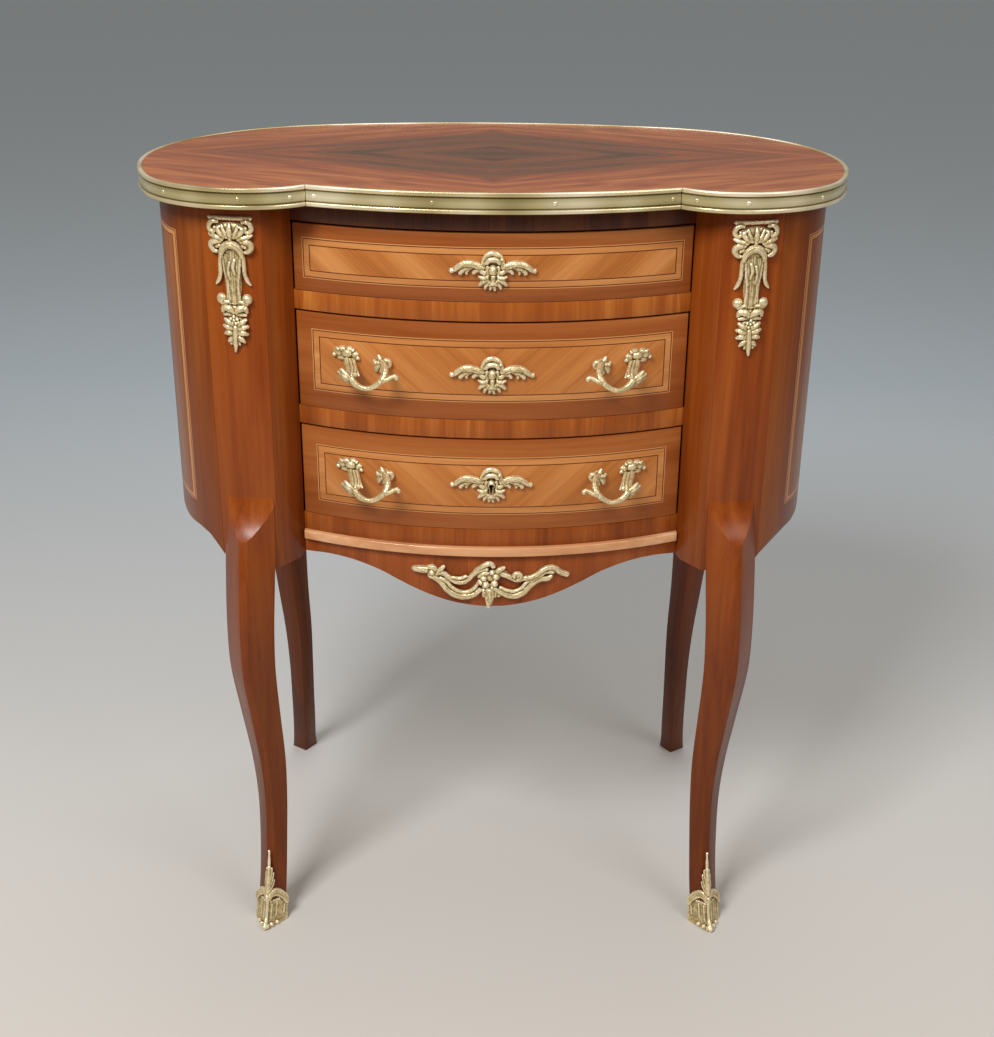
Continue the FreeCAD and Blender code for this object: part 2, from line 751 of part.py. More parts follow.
def panel_y(x):
    """The inner face of the back panel at x."""
    centre, radius = (BACK.corner_c, BACK.corner_r) if x > BACK.back_joint[0] else (
        BACK.back_c, BACK.back_r)
    return circle_y(centre, radius, x, front=False)


def board_back():
    """How far back a square-ended board reaches before it meets the back panel."""
    clearance = size("board_clearance")
    return panel_y(level("post_inner") - clearance) - clearance


def drawer_back():
    """The rear face of a drawer, which stops short of the back panel."""
    return panel_y(level("drawer_half")) - size("drawer_rear_gap")


inside = doc.addObject("Spreadsheet::Sheet", "inside")
for row, (alias, place) in enumerate((("board_back", board_back()),
                                      ("drawer_back", drawer_back())), start=1):
    inside.set("A%d" % row, alias)
    inside.set("B%d" % row, str(place))
    inside.setAlias("B%d" % row, alias)
doc.recompute()


def make_boards():
    """Boards that the drawers run on, the bottom board and the guides beside the drawers."""
    inner = level("post_inner") - size("board_clearance")
    front = level("post_back")
    for name, top in (("upper_drawer_board", "levels.drawer_1_bottom"),
                      ("lower_drawer_board", "levels.drawer_2_bottom")):
        box_piece(name, ("-levels.post_inner + sizes.board_clearance", "levels.post_back",
                         top + " - sizes.board_thickness"),
                  ("2 * (levels.post_inner - sizes.board_clearance)",
                   "inside.board_back - levels.post_back", "sizes.board_thickness"))
    make_bottom_board()
    rear = post_outline(1)[1][1][1]
    for side in (-1, 1):
        strips = []
        for bottom in ("drawer_1_bottom", "drawer_2_bottom", "drawer_3_bottom"):
            low = level("drawer_half") + size("guide_gap")
            width = inner - low
            x = low if side > 0 else -inner
            strips.append(Part.makeBox(width, rear - front, size("guide_height"),
                                       Vector(x, front, level(bottom))))
        shape_piece("drawer_guides_" + side_name(side), Part.makeCompound(strips))


def make_bottom_board():
    """The floor of the carcass, cut round the four posts."""
    gap = size("board_clearance")
    inner = level("post_inner") - gap
    front = level("post_back") + gap
    rear = post_outline(1)[1][1][1] - gap
    shell = Plan(size("overhang") + size("panel_thickness") + gap)
    back_shell = Plan(size("overhang") + size("back_thickness") + gap)
    front_x = shell.lobe_c[0] + math.sqrt(shell.lobe_r ** 2 - (front - shell.lobe_c[1]) ** 2)
    rear_x = shell.corner_c[0] + math.sqrt(
        shell.corner_r ** 2 - (rear - shell.corner_c[1]) ** 2)
    first, last = (front_x, front), (rear_x, rear)
    rail_back = level("post_back")
    end = (inner, circle_y(back_shell.corner_c, back_shell.corner_r, inner, front=False))
    joint = back_shell.back_joint
    right = [first, arc_to(first, shell.lobe_joint, shell.lobe_c),
             arc_to(shell.lobe_joint, shell.side, shell.side_c),
             arc_to(shell.side, last, shell.corner_c), (inner, rear), end,
             arc_to(end, joint, back_shell.corner_c)]
    start = (inner, rail_back)
    right = [(inner, front)] + right
    left_joint = (-joint[0], joint[1])
    back_end, back = reverse(start, right)
    left = [((-step[0][0], step[0][1]), (-step[1][0], step[1][1]))
            if isinstance(step[0], tuple) else (-step[0], step[1]) for step in back]
    steps = right + [arc_to(joint, left_joint, back_shell.back_c)] + left + [start]
    plan_piece("bottom_board", start, steps,
               "levels.drawer_3_bottom - sizes.bottom_board_thickness",
               "sizes.bottom_board_thickness")


def make_back_rail():
    """The rail behind, which takes the rear screws of the top."""
    box_piece("top_back_rail", ("-levels.post_inner + sizes.board_clearance",
                                "inside.board_back - sizes.back_rail_depth",
                                "levels.drawer_1_top"),
              ("2 * (levels.post_inner - sizes.board_clearance)", "sizes.back_rail_depth",
               "sizes.rail_height"))


def screw_places():
    """Three screws through the front rail and three through the back rail."""
    rear = board_back() - size("back_rail_depth") / 2
    front = (bow_y(0.0) + level("post_back")) / 2
    return [(x * size("screw_spacing"), y) for y in (front, rear) for x in (-1, 0, 1)]


def make_top_screws():
    """Screws driven up through the two top rails into the top board."""
    screws = []
    head_level = level("drawer_1_top")
    for x, y in screw_places():
        head = Part.makeCylinder(size("screw_head_radius"), size("screw_head"),
                                 Vector(x, y, head_level))
        shank = Part.makeCylinder(size("screw_radius"),
                                  size("rail_height") + size("screw_bite"),
                                  Vector(x, y, head_level))
        screws.append(head.fuse(shank).removeSplitter())
    shape_piece("top_screws", Part.makeCompound(screws))


def make_apron():
    """The bowed board under the drawers, its lower edge cut to a double curve."""
    half = level("opening_half")
    inner = (0.0, BOW[1])
    depth = size("apron_thickness")
    left, right = (-half, bow_y(half)), (half, bow_y(half))
    left_in, right_in = (-half, bow_y(half, -depth)), (half, bow_y(half, -depth))
    body = new_body("apron")
    pad_on(body, "apron_pad", edges_of(left, [arc_to(left, right, BOW), right_in,
                                              arc_to(right_in, left_in, inner), left]),
           "levels.apron_peak_level - sizes.apron_drop",
           "levels.bottom_rail_bottom - levels.apron_peak_level + sizes.apron_drop")
    peak, drop = level("apron_peak"), size("apron_drop")
    top = level("apron_peak_level")
    turn = 2 * math.atan(drop / peak)
    joint_x = peak * APRON_JOINT_SHARE
    centre_r = joint_x / math.sin(turn)
    wave_r = (peak - joint_x) / math.sin(turn)
    low = top - drop
    joint = (joint_x, low + centre_r * (1 - math.cos(turn)))
    wave_c = (peak, top - wave_r)
    edge = (half + size("overhang"), top - size("overhang") * APRON_END_SHARE)
    run = low - size("overrun")
    steps = [arc_to((-joint[0], joint[1]), joint, (0.0, low + centre_r)),
             arc_to(joint, (peak, top), wave_c), edge, (edge[0], run), (-edge[0], run),
             (-edge[0], edge[1]), (-peak, top),
             arc_to((-peak, top), (-joint[0], joint[1]), (-peak, top - wave_r))]
    cut_through(body, "apron_edge", edges_of((-joint[0], joint[1]), steps), "XZ_Plane")


APRON_JOINT_SHARE = 0.56
APRON_END_SHARE = 0.15


def make_moulding():
    """A half-round strip planted along the top of the apron."""
    body = new_body("apron_moulding")
    radius = size("bow_radius")
    middle = size("moulding_height") / 2
    low = level("moulding_bottom")
    near = (-radius, low)
    geometry = edges_of(near, [((-radius - size("moulding_depth"), low + middle),
                                (-radius, low + 2 * middle)), near])
    angle = 2 * math.degrees(math.asin(level("opening_half") / (radius + size("moulding_depth"))))
    sketch = sketch_on(body, "apron_moulding_sketch", geometry, None, "YZ_Plane")
    sketch.AttachmentOffset = FreeCAD.Placement(Vector(BOW[1], 0, 0), FreeCAD.Rotation())
    turn = body.newObject("PartDesign::Revolution", "apron_moulding_sweep")
    turn.Profile = sketch
    turn.ReferenceAxis = (sketch, ["V_Axis"])
    turn.Angle = angle
    turn.Midplane = True


# Drawers: a bowed front, two sides, a back and a bottom, each a board of its own.

def stud_places(number):
    """The middles of the handle pads on a drawer: plan x and height."""
    if number == 1:
        return []
    rise = level("drawer_%d_bottom" % number) + size("handle_rise")
    pads = [(level("handle_outer"), rise), (level("handle_inner"),
                                            rise - size("handle_pad_step"))]
    return [(side * x, z) for side in (-1, 1) for x, z in pads]


def make_drawer(number):
    """Drawer 1 is the top one."""
    name = "drawer_%d_" % number
    bottom = "levels.drawer_%d_bottom" % number
    height = "sizes.drawer_%d_height" % number
    gap = " + sizes.drawer_gap_bottom"
    half = level("opening_half") - size("drawer_gap_side")
    thick = size("front_thickness")
    side_out = level("drawer_half")
    side_in = side_out - size("drawer_side")
    back = drawer_back()
    left, right = (-half, bow_y(half)), (half, bow_y(half))
    left_in, right_in = (-half, bow_y(half, -thick)), (half, bow_y(half, -thick))
    front = new_body(name + "front")
    pad_on(front, name + "front_pad",
           edges_of(left, [arc_to(left, right, BOW), right_in,
                           arc_to(right_in, left_in, BOW), left]),
           bottom + gap, height + " - sizes.drawer_gap_bottom - sizes.drawer_gap_top")
    cut_front_holes(front, number)
    side_height = height + " - sizes.drawer_gap_top - sizes.drawer_side_drop"
    for side in (-1, 1):
        outer = (side_out, bow_y(side_out, -thick))
        inner = (side_in, bow_y(side_in, -thick))
        plan_piece(name + side_name(side), outer,
                   [(side_out, back), (side_in, back), inner, arc_to(inner, outer, BOW)],
                   bottom + gap, side_height, side)
    corner, far = (-side_in, bow_y(side_in, -thick)), (side_in, bow_y(side_in, -thick))
    plan_piece(name + "bottom", corner,
               [arc_to(corner, far, BOW), (side_in, back), (-side_in, back), corner],
               bottom + " + sizes.drawer_bottom_rise", "sizes.drawer_bottom")
    box_piece(name + "back",
              ("-levels.drawer_half + sizes.drawer_side",
               "inside.drawer_back - sizes.drawer_side",
               bottom + " + sizes.drawer_bottom_rise + sizes.drawer_bottom"),
              ("2 * (levels.drawer_half - sizes.drawer_side)", "sizes.drawer_side",
               side_height + " - sizes.drawer_bottom_rise - sizes.drawer_bottom"
               " + sizes.drawer_gap_bottom"))


def circle_edge(x, z, radius):
    return Part.Circle(Vector(x, z, 0), Vector(0, 0, 1), radius)


def cut_front_holes(front, number):
    """Holes for the handle studs, and the keyhole of the bottom drawer."""
    circles = [circle_edge(x, z, size("stud_hole_radius")) for x, z in stud_places(number)]
    if number == 3:
        circles += keyhole_outline()
    if circles:
        cut_through(front, front.Name + "_holes", circles, "XZ_Plane")


def keyhole_outline():
    """A round eye with a straight slot under it, as one outline."""
    z = level("keyhole_level")
    radius = size("keyhole_radius")
    half = radius / 2
    joint = math.sqrt(radius * radius - half * half)
    slot = z - size("keyhole_slot")
    start = (half, z - joint)
    return edges_of(start, [((0.0, z + radius), (-half, z - joint)), (-half, slot),
                            (half, slot), start])


# The lock of the bottom drawer: a thin case with a sliding bolt.

def lock_front():
    """The y of the case's front plate, against the back of the drawer front."""
    return bow_y(size("lock_width") / 2, -size("front_thickness"))


def bolt_front():
    return lock_front() + size("lock_wall") + size("bolt_clearance")


def make_lock():
    top = level("drawer_3_top") - size("drawer_gap_top") - size("bolt_top_gap")
    half = size("lock_width") / 2
    wall = size("lock_wall")
    low = top - size("lock_height")
    front = lock_front()
    case = Part.makeBox(2 * half, size("lock_depth"), size("lock_height"),
                        Vector(-half, front, low))
    room = Part.makeBox(2 * (half - wall), size("lock_depth") - 2 * wall,
                        size("lock_height") - 2 * wall,
                        Vector(-half + wall, front + wall, low + wall))
    slot_half = size("bolt_width") / 2 + size("bolt_clearance")
    slot = Part.makeBox(2 * slot_half, size("bolt_thickness") + 2 * size("bolt_clearance"),
                        2 * wall, Vector(-slot_half, front + wall, top - 1.5 * wall))
    key = Part.Face(Part.Wire(Part.sortEdges(
        [item.toShape() for item in keyhole_outline()])[0]))
    key.rotate(Vector(0, 0, 0), Vector(1, 0, 0), 90)
    key_way = key.extrude(Vector(0, -size("overrun"), 0))
    key_way.translate(Vector(0, front + 1.5 * wall, 0))
    shape_piece("lock_case", case.cut(room).cut(slot).cut(key_way))
    bolt = Part.makeBox(size("bolt_width"), size("bolt_thickness"), size("bolt_length"),
                        Vector(-size("bolt_width") / 2, bolt_front(),
                               top - size("bolt_length")))
    shape_piece("lock_bolt", bolt)


# Gilt mounts: plates bent to the face that carries them, cut to an outline.

# Where the keyhole lies in its escutcheon, as a share of the height.
KEYHOLE_SHARE = 0.42
# Half outlines from the top middle down to the bottom middle, as shares of the half width
# and of the height.
ESCUTCHEON_SHARES = [(0.0, 1.0), (0.14, 0.97), (0.24, 0.84), (0.30, 0.70), (0.55, 0.76),
                     (0.80, 0.66), (1.0, 0.50), (0.92, 0.42), (0.72, 0.44), (0.50, 0.40),
                     (0.34, 0.44), (0.32, 0.24), (0.40, 0.06), (0.28, 0.0), (0.12, 0.08),
                     (0.0, 0.03)]
CHUTE_SHARES = [(0.0, 1.0), (0.95, 0.99), (1.0, 0.88), (0.85, 0.70), (0.72, 0.52),
                (0.62, 0.36), (0.34, 0.26), (0.22, 0.12), (0.0, 0.0)]
# The whole outline of the rocaille on the apron, clockwise from its left end.
ROCAILLE_SHARES = [(0.0, 0.80), (0.10, 0.86), (0.22, 0.91), (0.26, 0.76), (0.32, 0.64),
                   (0.38, 0.72), (0.43, 0.90), (0.49, 1.0), (0.55, 0.94), (0.60, 0.86),
                   (0.65, 0.76), (0.70, 0.82), (0.76, 0.72), (0.84, 0.80), (0.90, 0.87),
                   (0.95, 0.80), (1.0, 0.66), (0.90, 0.59), (0.80, 0.57), (0.74, 0.44),
                   (0.67, 0.29), (0.60, 0.28), (0.54, 0.24), (0.515, 0.10), (0.485, 0.0),
                   (0.455, 0.18), (0.40, 0.24), (0.32, 0.24), (0.25, 0.38), (0.18, 0.58),
                   (0.09, 0.68)]


def sketch_of(name, geometry, across):
    """A loose sketch, in plan or upright across the front."""
    sketch = doc.addObject("Sketcher::SketchObject", name)
    for item in geometry:
        sketch.addGeometry(item, False)
    if across:
        sketch.Placement = FreeCAD.Placement(Vector(0, 0, 0),
                                             FreeCAD.Rotation(Vector(1, 0, 0), 90))
    return sketch


def extrusion(name, sketch, direction, length):
    solid = doc.addObject("Part::Extrusion", name)
    solid.Base = sketch
    solid.DirMode = "Custom"
    solid.Dir = direction
    solid.setExpression("LengthFwd", length)
    solid.Solid = True
    return solid


def applique(name, corners, plan_start, plan_steps, low, height, side=1):
    """A plate with an upright outline, bent to follow a face in plan."""
    front = edges_of(corners[0], corners[1:] + corners[:1], side)
    outline = extrusion(name + "_outline", sketch_of(name + "_front", front, True),
                        Vector(0, -1, 0), "levels.half_depth + sizes.overrun")
    plan = sketch_of(name + "_plan", edges_of(plan_start, plan_steps, side), False)
    plan.Placement = FreeCAD.Placement(Vector(0, 0, low), FreeCAD.Rotation())
    band = extrusion(name + "_band", plan, Vector(0, 0, 1), height)
    common = doc.addObject("Part::Common", name)
    common.Label = name
    common.Base = outline
    common.Tool = band
    parts.append(common)
    return common


def bow_band(half, thickness):
    """A strip in plan that follows the bow, standing out from the drawer faces."""
    out = size("bow_radius") + thickness
    left, right = (-half, bow_y(half)), (half, bow_y(half))
    far_right = (half, circle_y(BOW, out, half))
    far_left = (-half, far_right[1])
    return left, [arc_to(left, right, BOW), far_right, arc_to(far_right, far_left, BOW), left]


def make_escutcheons():
    half, height = size("escutcheon_width") / 2, size("escutcheon_height")
    lows = [level("drawer_1_bottom") + size("escutcheon_1_rise"),
            level("drawer_2_bottom") + size("escutcheon_2_rise"),
            level("keyhole_level") - height * KEYHOLE_SHARE]
    for number, low in enumerate(lows, start=1):
        right = [(x * half, low + z * height) for x, z in ESCUTCHEON_SHARES]
        left = [(-x, z) for x, z in reversed(right[1:-1])]
        start, steps = bow_band(half, size("mount_thickness"))
        name = "escutcheon_%d" % number
        if number < 3:
            applique(name, right + left, start, steps, low, "sizes.escutcheon_height")
            continue
        blank = applique(name + "_blank", right + left, start, steps, low,
                         "sizes.escutcheon_height")
        parts.remove(blank)
        hole = extrusion(name + "_hole", sketch_of(name + "_keyhole", keyhole_outline(), True),
                         Vector(0, -1, 0), "levels.half_depth + sizes.overrun")
        cut = doc.addObject("Part::Cut", name)
        cut.Label = name
        cut.Base = blank
        cut.Tool = hole
        parts.append(cut)


def make_chutes():
    """Long mounts on the canted faces of the front posts."""
    half, height = size("chute_width") / 2, size("chute_height")
    middle = level("post_middle")
    low = level("body_top") - size("chute_drop") - height
    out = Plan(size("overhang") - size("chute_thickness"))
    right = [(middle + x * half, low + z * height) for x, z in CHUTE_SHARES]
    left = [(2 * middle - x, z) for x, z in reversed(right[1:-1])]
    near, far = middle - half, middle + half
    first = (near, circle_y(BODY.inner_c, BODY.inner_r, near))
    last = (far, circle_y(BODY.lobe_c, BODY.lobe_r, far))
    out_last = (far, circle_y(out.lobe_c, out.lobe_r, far))
    out_first = (near, circle_y(out.inner_c, out.inner_r, near))
    steps = [arc_to(first, BODY.crown, BODY.inner_c), arc_to(BODY.crown, last, BODY.lobe_c),
             out_last, arc_to(out_last, out.crown, out.lobe_c),
             arc_to(out.crown, out_first, out.inner_c), first]
    for side in (-1, 1):
        applique("chute_" + side_name(side), right + left, first, steps, low,
                 "sizes.chute_height", side)


def make_apron_mount():
    length, height = size("apron_mount_length"), size("apron_mount_height")
    low = level("apron_peak_level") - size("apron_drop") + size("apron_mount_rise")
    corners = [((x - 0.5) * length, low + z * height) for x, z in ROCAILLE_SHARES]
    start, steps = bow_band(length / 2, size("mount_thickness"))
    applique("apron_mount", corners, start, steps, low, "sizes.apron_mount_height")


# Levels of the cup and of the tongue of a front shoe, as shares of their heights, with the
# tongue's spread as a share of the leg's half diagonal.
CUP_LEVEL_SHARES = [0.0, 0.25, 0.6, 1.0]
TONGUE_SHARES = [(0.35, 0.75), (0.6, 0.50), (0.85, 0.28), (1.0, 0.10)]
TONGUE_ROOT_SHARE = 0.2


def make_sabots():
    """Cast shoes on the front feet: a cup with a sole, and a tongue up the arris."""
    half = level("leg_half_diagonal")
    wall = size("sabot_wall") / half
    knee = level("side_bottom")
    for side in (-1, 1):
        leg = doc.getObject("leg_front_" + side_name(side)).Shape
        wires = []
        for share in CUP_LEVEL_SHARES:
            height = share * size("sabot_cup")
            side_share, swing, girth = leg_place(height / knee)
            toe_reach = size("sabot_toe") / half * (1 - share) ** 2
            spans = (girth + wall + toe_reach, girth + wall, girth + wall, girth + wall)
            wires.append(quad_wire(leg_quad(-1, side_share, swing, spans), height, side))
        shell = Part.makeLoft(wires, True, False)
        tongue = []
        for share, spread in TONGUE_SHARES:
            height = share * size("sabot_height")
            side_share, swing, girth = leg_place(height / knee)
            corners = leg_quad(-1, side_share, swing, (girth + wall,) * 4)
            tip = corners[0]
            left = towards(tip, corners[3], spread * half)
            right = towards(tip, corners[1], spread * half)
            inside = leg_quad(-1, side_share, swing, (TONGUE_ROOT_SHARE,) * 4)[0]
            tongue.append(quad_wire([tip, right, inside, left], height, side))
        shell = shell.fuse(Part.makeLoft(tongue, True, False))
        shape_piece("sabot_" + side_name(side), largest(shell.cut(leg)))


def largest(shape):
    return max(shape.Solids, key=lambda solid: solid.Volume)


def leg_place(share):
    """A front leg's swing and girth at a share of its height, between its stations."""
    for low, high in zip(LEG_SHARES, LEG_SHARES[1:]):
        if share <= high[0]:
            part = (share - low[0]) / (high[0] - low[0])
            return tuple(a + (b - a) * part for a, b in zip(low[1:4], high[1:4]))
    return LEG_SHARES[-1][1:4]


def quad_wire(corners, height, side):
    points = [Vector(x * side, y, height) for x, y in corners]
    return Part.makePolygon(points + points[:1])


# Handles: fixed castings, each with two pads, a drooping grip and two curled tips.

def front_point(x, z, out):
    """A point that stands out from the drawer faces by a distance."""
    y = bow_y(x)
    outward = Vector(x - BOW[0], y - BOW[1], 0).normalize()
    return Vector(x, y, z) + outward * out


# The grip from the outer to the inner pad, as shares of the step between the pads, of the
# drop and of the reach. Each curled tip starts on it and runs out to a side.
GRIP_SHARES = [(0.0, 0.0, 0.10), (0.04, 0.30, 0.55), (0.22, 0.78, 0.92), (0.50, 1.0, 1.0),
               (0.80, 0.86, 0.90), (0.97, 0.52, 0.52), (1.0, 0.20, 0.10)]
TIP_SHARES = [((0.10, 0.55, 0.80), 0.65, 0.40), ((0.90, 0.70, 0.72), -1.0, 0.58)]


def make_handle(number, side):
    """One casting, cut back to the bowed face, with two studs through the drawer front."""
    outer, inner = level("handle_outer"), level("handle_inner")
    rise = level("drawer_%d_bottom" % number) + size("handle_rise")
    reach, drop = size("handle_reach"), size("handle_drop")
    thick = size("handle_pad_thickness")

    def place(along, down, out):
        x = outer + (inner - outer) * along
        return front_point(x, rise - drop * down, reach * out)

    solids, studs = [], []
    for x, z, width in ((outer, rise, size("handle_outer_pad")),
                        (inner, rise - size("handle_pad_step"), size("handle_inner_pad"))):
        foot, head = front_point(x, z, 0), front_point(x, z, thick)
        outward = (head - foot).normalize()
        pad = Part.makeCylinder(size("handle_pad_height") / 2, 2 * thick,
                                foot - outward * thick, outward)
        solids.append(stretch_x(pad, x, width / size("handle_pad_height")))
        length = thick / 2 + size("front_thickness") + 2 * size("nut_thickness")
        studs.append(Part.makeCylinder(size("stud_radius"), length,
                                       Vector(x, foot.y - thick / 2, z), Vector(0, 1, 0)))
    spine = Part.BSplineCurve()
    spine.interpolate([place(*share) for share in GRIP_SHARES])
    start = spine.FirstParameter
    ring = Part.Wire(Part.Edge(Part.Circle(spine.value(start), spine.tangent(start)[0],
                                           size("handle_grip_radius"))))
    solids.append(Part.Wire(spine.toShape()).makePipeShell([ring], True, True))
    for share, way, lift in TIP_SHARES:
        root = place(*share)
        end = root + Vector(way * size("handle_tip_reach"), 0,
                            lift * size("handle_tip_radius"))
        solids.append(Part.makeCylinder(size("handle_grip_radius"), (end - root).Length, root,
                                        end - root))
        solids.append(Part.makeSphere(size("handle_tip_radius"), end))
    casting = solids[0].multiFuse(solids[1:]).cut(drawer_face())
    shape = casting.multiFuse(studs).removeSplitter()
    if side < 0:
        shape = shape.mirror(Vector(0, 0, 0), Vector(1, 0, 0))
    shape_piece("handle_%d_%s" % (number, side_name(side)), shape)


def stretch_x(shape, x, factor):
    """The shape made wider or narrower about a plane of x."""
    matrix = FreeCAD.Matrix()
    matrix.move(Vector(-x, 0, 0))
    matrix.scale(Vector(factor, 1, 1))
    matrix.move(Vector(x, 0, 0))
    return shape.transformGeometry(matrix)


def drawer_face():
    """The space behind the bowed faces, which the castings are cut back to."""
    return Part.makeCylinder(size("bow_radius"), size("total_height"), Vector(0, BOW[1], 0))


def make_nuts(number):
    """Nuts on the handle studs, inside the drawer."""
    nuts = []
    for x, z in stud_places(number):
        y = bow_y(abs(x) + size("nut_radius"), -size("front_thickness"))
        outer = Part.makeCylinder(size("nut_radius"), size("nut_thickness"), Vector(x, y, z),
                                  Vector(0, 1, 0))
        bore = Part.makeCylinder(size("stud_radius"), size("nut_thickness"), Vector(x, y, z),
                                 Vector(0, 1, 0))
        nuts.append(outer.cut(bore))
    shape_piece("handle_nuts_%d" % number, Part.makeCompound(nuts))


def build():
    make_top()
    make_rim()
    make_rim_pins()
    for end, place in ((-1, "front"), (1, "back")):
        for side in (-1, 1):
            make_leg("leg_%s_%s" % (place, side_name(side)), side, end)
    for side in (-1, 1):
        make_stile(side)
    make_rails()
    make_panels()
    make_boards()
    make_back_rail()
    make_top_screws()
    make_apron()
    make_moulding()
    for number in (1, 2, 3):
        make_drawer(number)
    make_lock()
    doc.recompute()
    make_escutcheons()
    make_chutes()
    make_apron_mount()
    make_sabots()
    for number in (2, 3):
        for side in (-1, 1):
            make_handle(number, side)
        make_nuts(number)
    doc.recompute()


def check_and_export():
    """Every object is sound, and each sub-part is written under its own name."""
    for item in doc.Objects:
        if "Invalid" in item.State or "Error" in item.State:
            raise RuntimeError("failed object: " + item.Name + " " + str(item.State))
    for part in parts:
        if part.Shape.isNull() or not part.Shape.isValid() or not part.Shape.Solids:
            raise RuntimeError("unsound shape: " + part.Label)
    for part in parts:
        part.Shape.exportStep("parts/%s.step" % part.Label)
        box = part.Shape.BoundBox
        print("%-22s %2d solids %9.1f mm3  x %.1f %.1f  y %.1f %.1f  z %.1f %.1f" % (
            part.Label, len(part.Shape.Solids), part.Shape.Volume, box.XMin, box.XMax,
            box.YMin, box.YMax, box.ZMin, box.ZMax))
    print(len(parts), "nodes")


build()
check_and_export()
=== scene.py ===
# %% [markdown]
# # A small kidney-shaped chest on four cabriole legs
#
# The chest was drawn as solids first, and those solids are the frame of this scene. Every
# piece below is modelled over that frame, in metres, where the solids say it stands. The
# lesson goes as a maker would: the stage, the finishes, the carcass, the legs, the drawers,
# the brass edge and last the cast mounts.

import json
import math

import bpy
import numpy as np
from mathutils import Matrix, Vector

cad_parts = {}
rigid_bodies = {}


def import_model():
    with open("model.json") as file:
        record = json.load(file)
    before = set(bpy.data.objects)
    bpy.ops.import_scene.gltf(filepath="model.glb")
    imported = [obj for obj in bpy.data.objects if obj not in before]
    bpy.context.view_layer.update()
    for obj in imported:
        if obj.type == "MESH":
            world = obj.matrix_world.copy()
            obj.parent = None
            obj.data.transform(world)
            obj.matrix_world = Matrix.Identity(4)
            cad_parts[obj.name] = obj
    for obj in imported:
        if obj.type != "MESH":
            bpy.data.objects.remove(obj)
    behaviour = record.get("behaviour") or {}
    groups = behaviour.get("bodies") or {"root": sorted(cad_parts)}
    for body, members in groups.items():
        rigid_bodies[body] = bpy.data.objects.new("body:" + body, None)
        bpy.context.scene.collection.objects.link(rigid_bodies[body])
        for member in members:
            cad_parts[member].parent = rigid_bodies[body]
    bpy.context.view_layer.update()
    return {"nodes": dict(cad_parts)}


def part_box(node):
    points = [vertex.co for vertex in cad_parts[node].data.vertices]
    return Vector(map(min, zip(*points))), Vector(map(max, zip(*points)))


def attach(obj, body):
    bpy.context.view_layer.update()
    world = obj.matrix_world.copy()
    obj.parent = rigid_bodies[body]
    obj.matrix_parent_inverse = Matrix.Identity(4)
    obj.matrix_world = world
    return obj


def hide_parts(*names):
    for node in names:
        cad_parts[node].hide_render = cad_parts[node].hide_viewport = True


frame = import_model()
nodes = frame["nodes"]

# %% [markdown]
# ## The camera
#
# The camera stands where the photographer stood. Its place, its tilt and its lens were worked
# out from the outline of the top, the drawer lines and the feet. It could be aimed with a
# constraint, but a constraint can't hold the slight roll, so its axes are set directly.

# %% The camera
MM = 0.001
CAMERA_PLACE = (-3.5, -1389.9, 980.9)
TILT_DOWN = math.radians(23.62)
ROLL = math.radians(-0.56)
TURN = math.radians(0.42)
LENS_MM = 52.75


def camera_axes():
    """The camera's right, down and forward directions."""
    ahead = Vector((math.sin(TURN) * math.cos(TILT_DOWN),
                    math.cos(TURN) * math.cos(TILT_DOWN), -math.sin(TILT_DOWN)))
    level_right = Vector((math.cos(TURN), -math.sin(TURN), 0))
    level_down = ahead.cross(level_right)
    right = level_right * math.cos(ROLL) + level_down * math.sin(ROLL)
    down = level_down * math.cos(ROLL) - level_right * math.sin(ROLL)
    return right, down, ahead


right, down, ahead = camera_axes()
bpy.ops.object.camera_add(location=[v * MM for v in CAMERA_PLACE])
camera = bpy.context.object
turned = Matrix((right, -down, -ahead)).transposed().to_4x4()
camera.matrix_world = Matrix.Translation(camera.location) @ turned
camera.data.sensor_fit = "HORIZONTAL"
camera.data.sensor_width = 36
camera.data.lens = LENS_MM
bpy.context.scene.camera = camera
bpy.context.scene.view_settings.view_transform = "Standard"
print("camera", tuple(round(v, 3) for v in camera.location))

# %% [markdown]
# ## Finishes as recipes
#
# Polished veneer, cast gilding and drawn brass are all mixed from a few procedural nodes. A
# small recipe class keeps the node trees short to read: each method is one step of a recipe,
# such as a noise, a ramp of colours or a mix.

# %% The recipe class


def paint(code):
    """A colour written as on screen, turned into the light that it stands for."""
    parts = [int(code[i:i + 2], 16) / 255 for i in (0, 2, 4)]
    return [p / 12.92 if p <= 0.04045 else ((p + 0.055) / 1.055) ** 2.4 for p in parts] + [1]


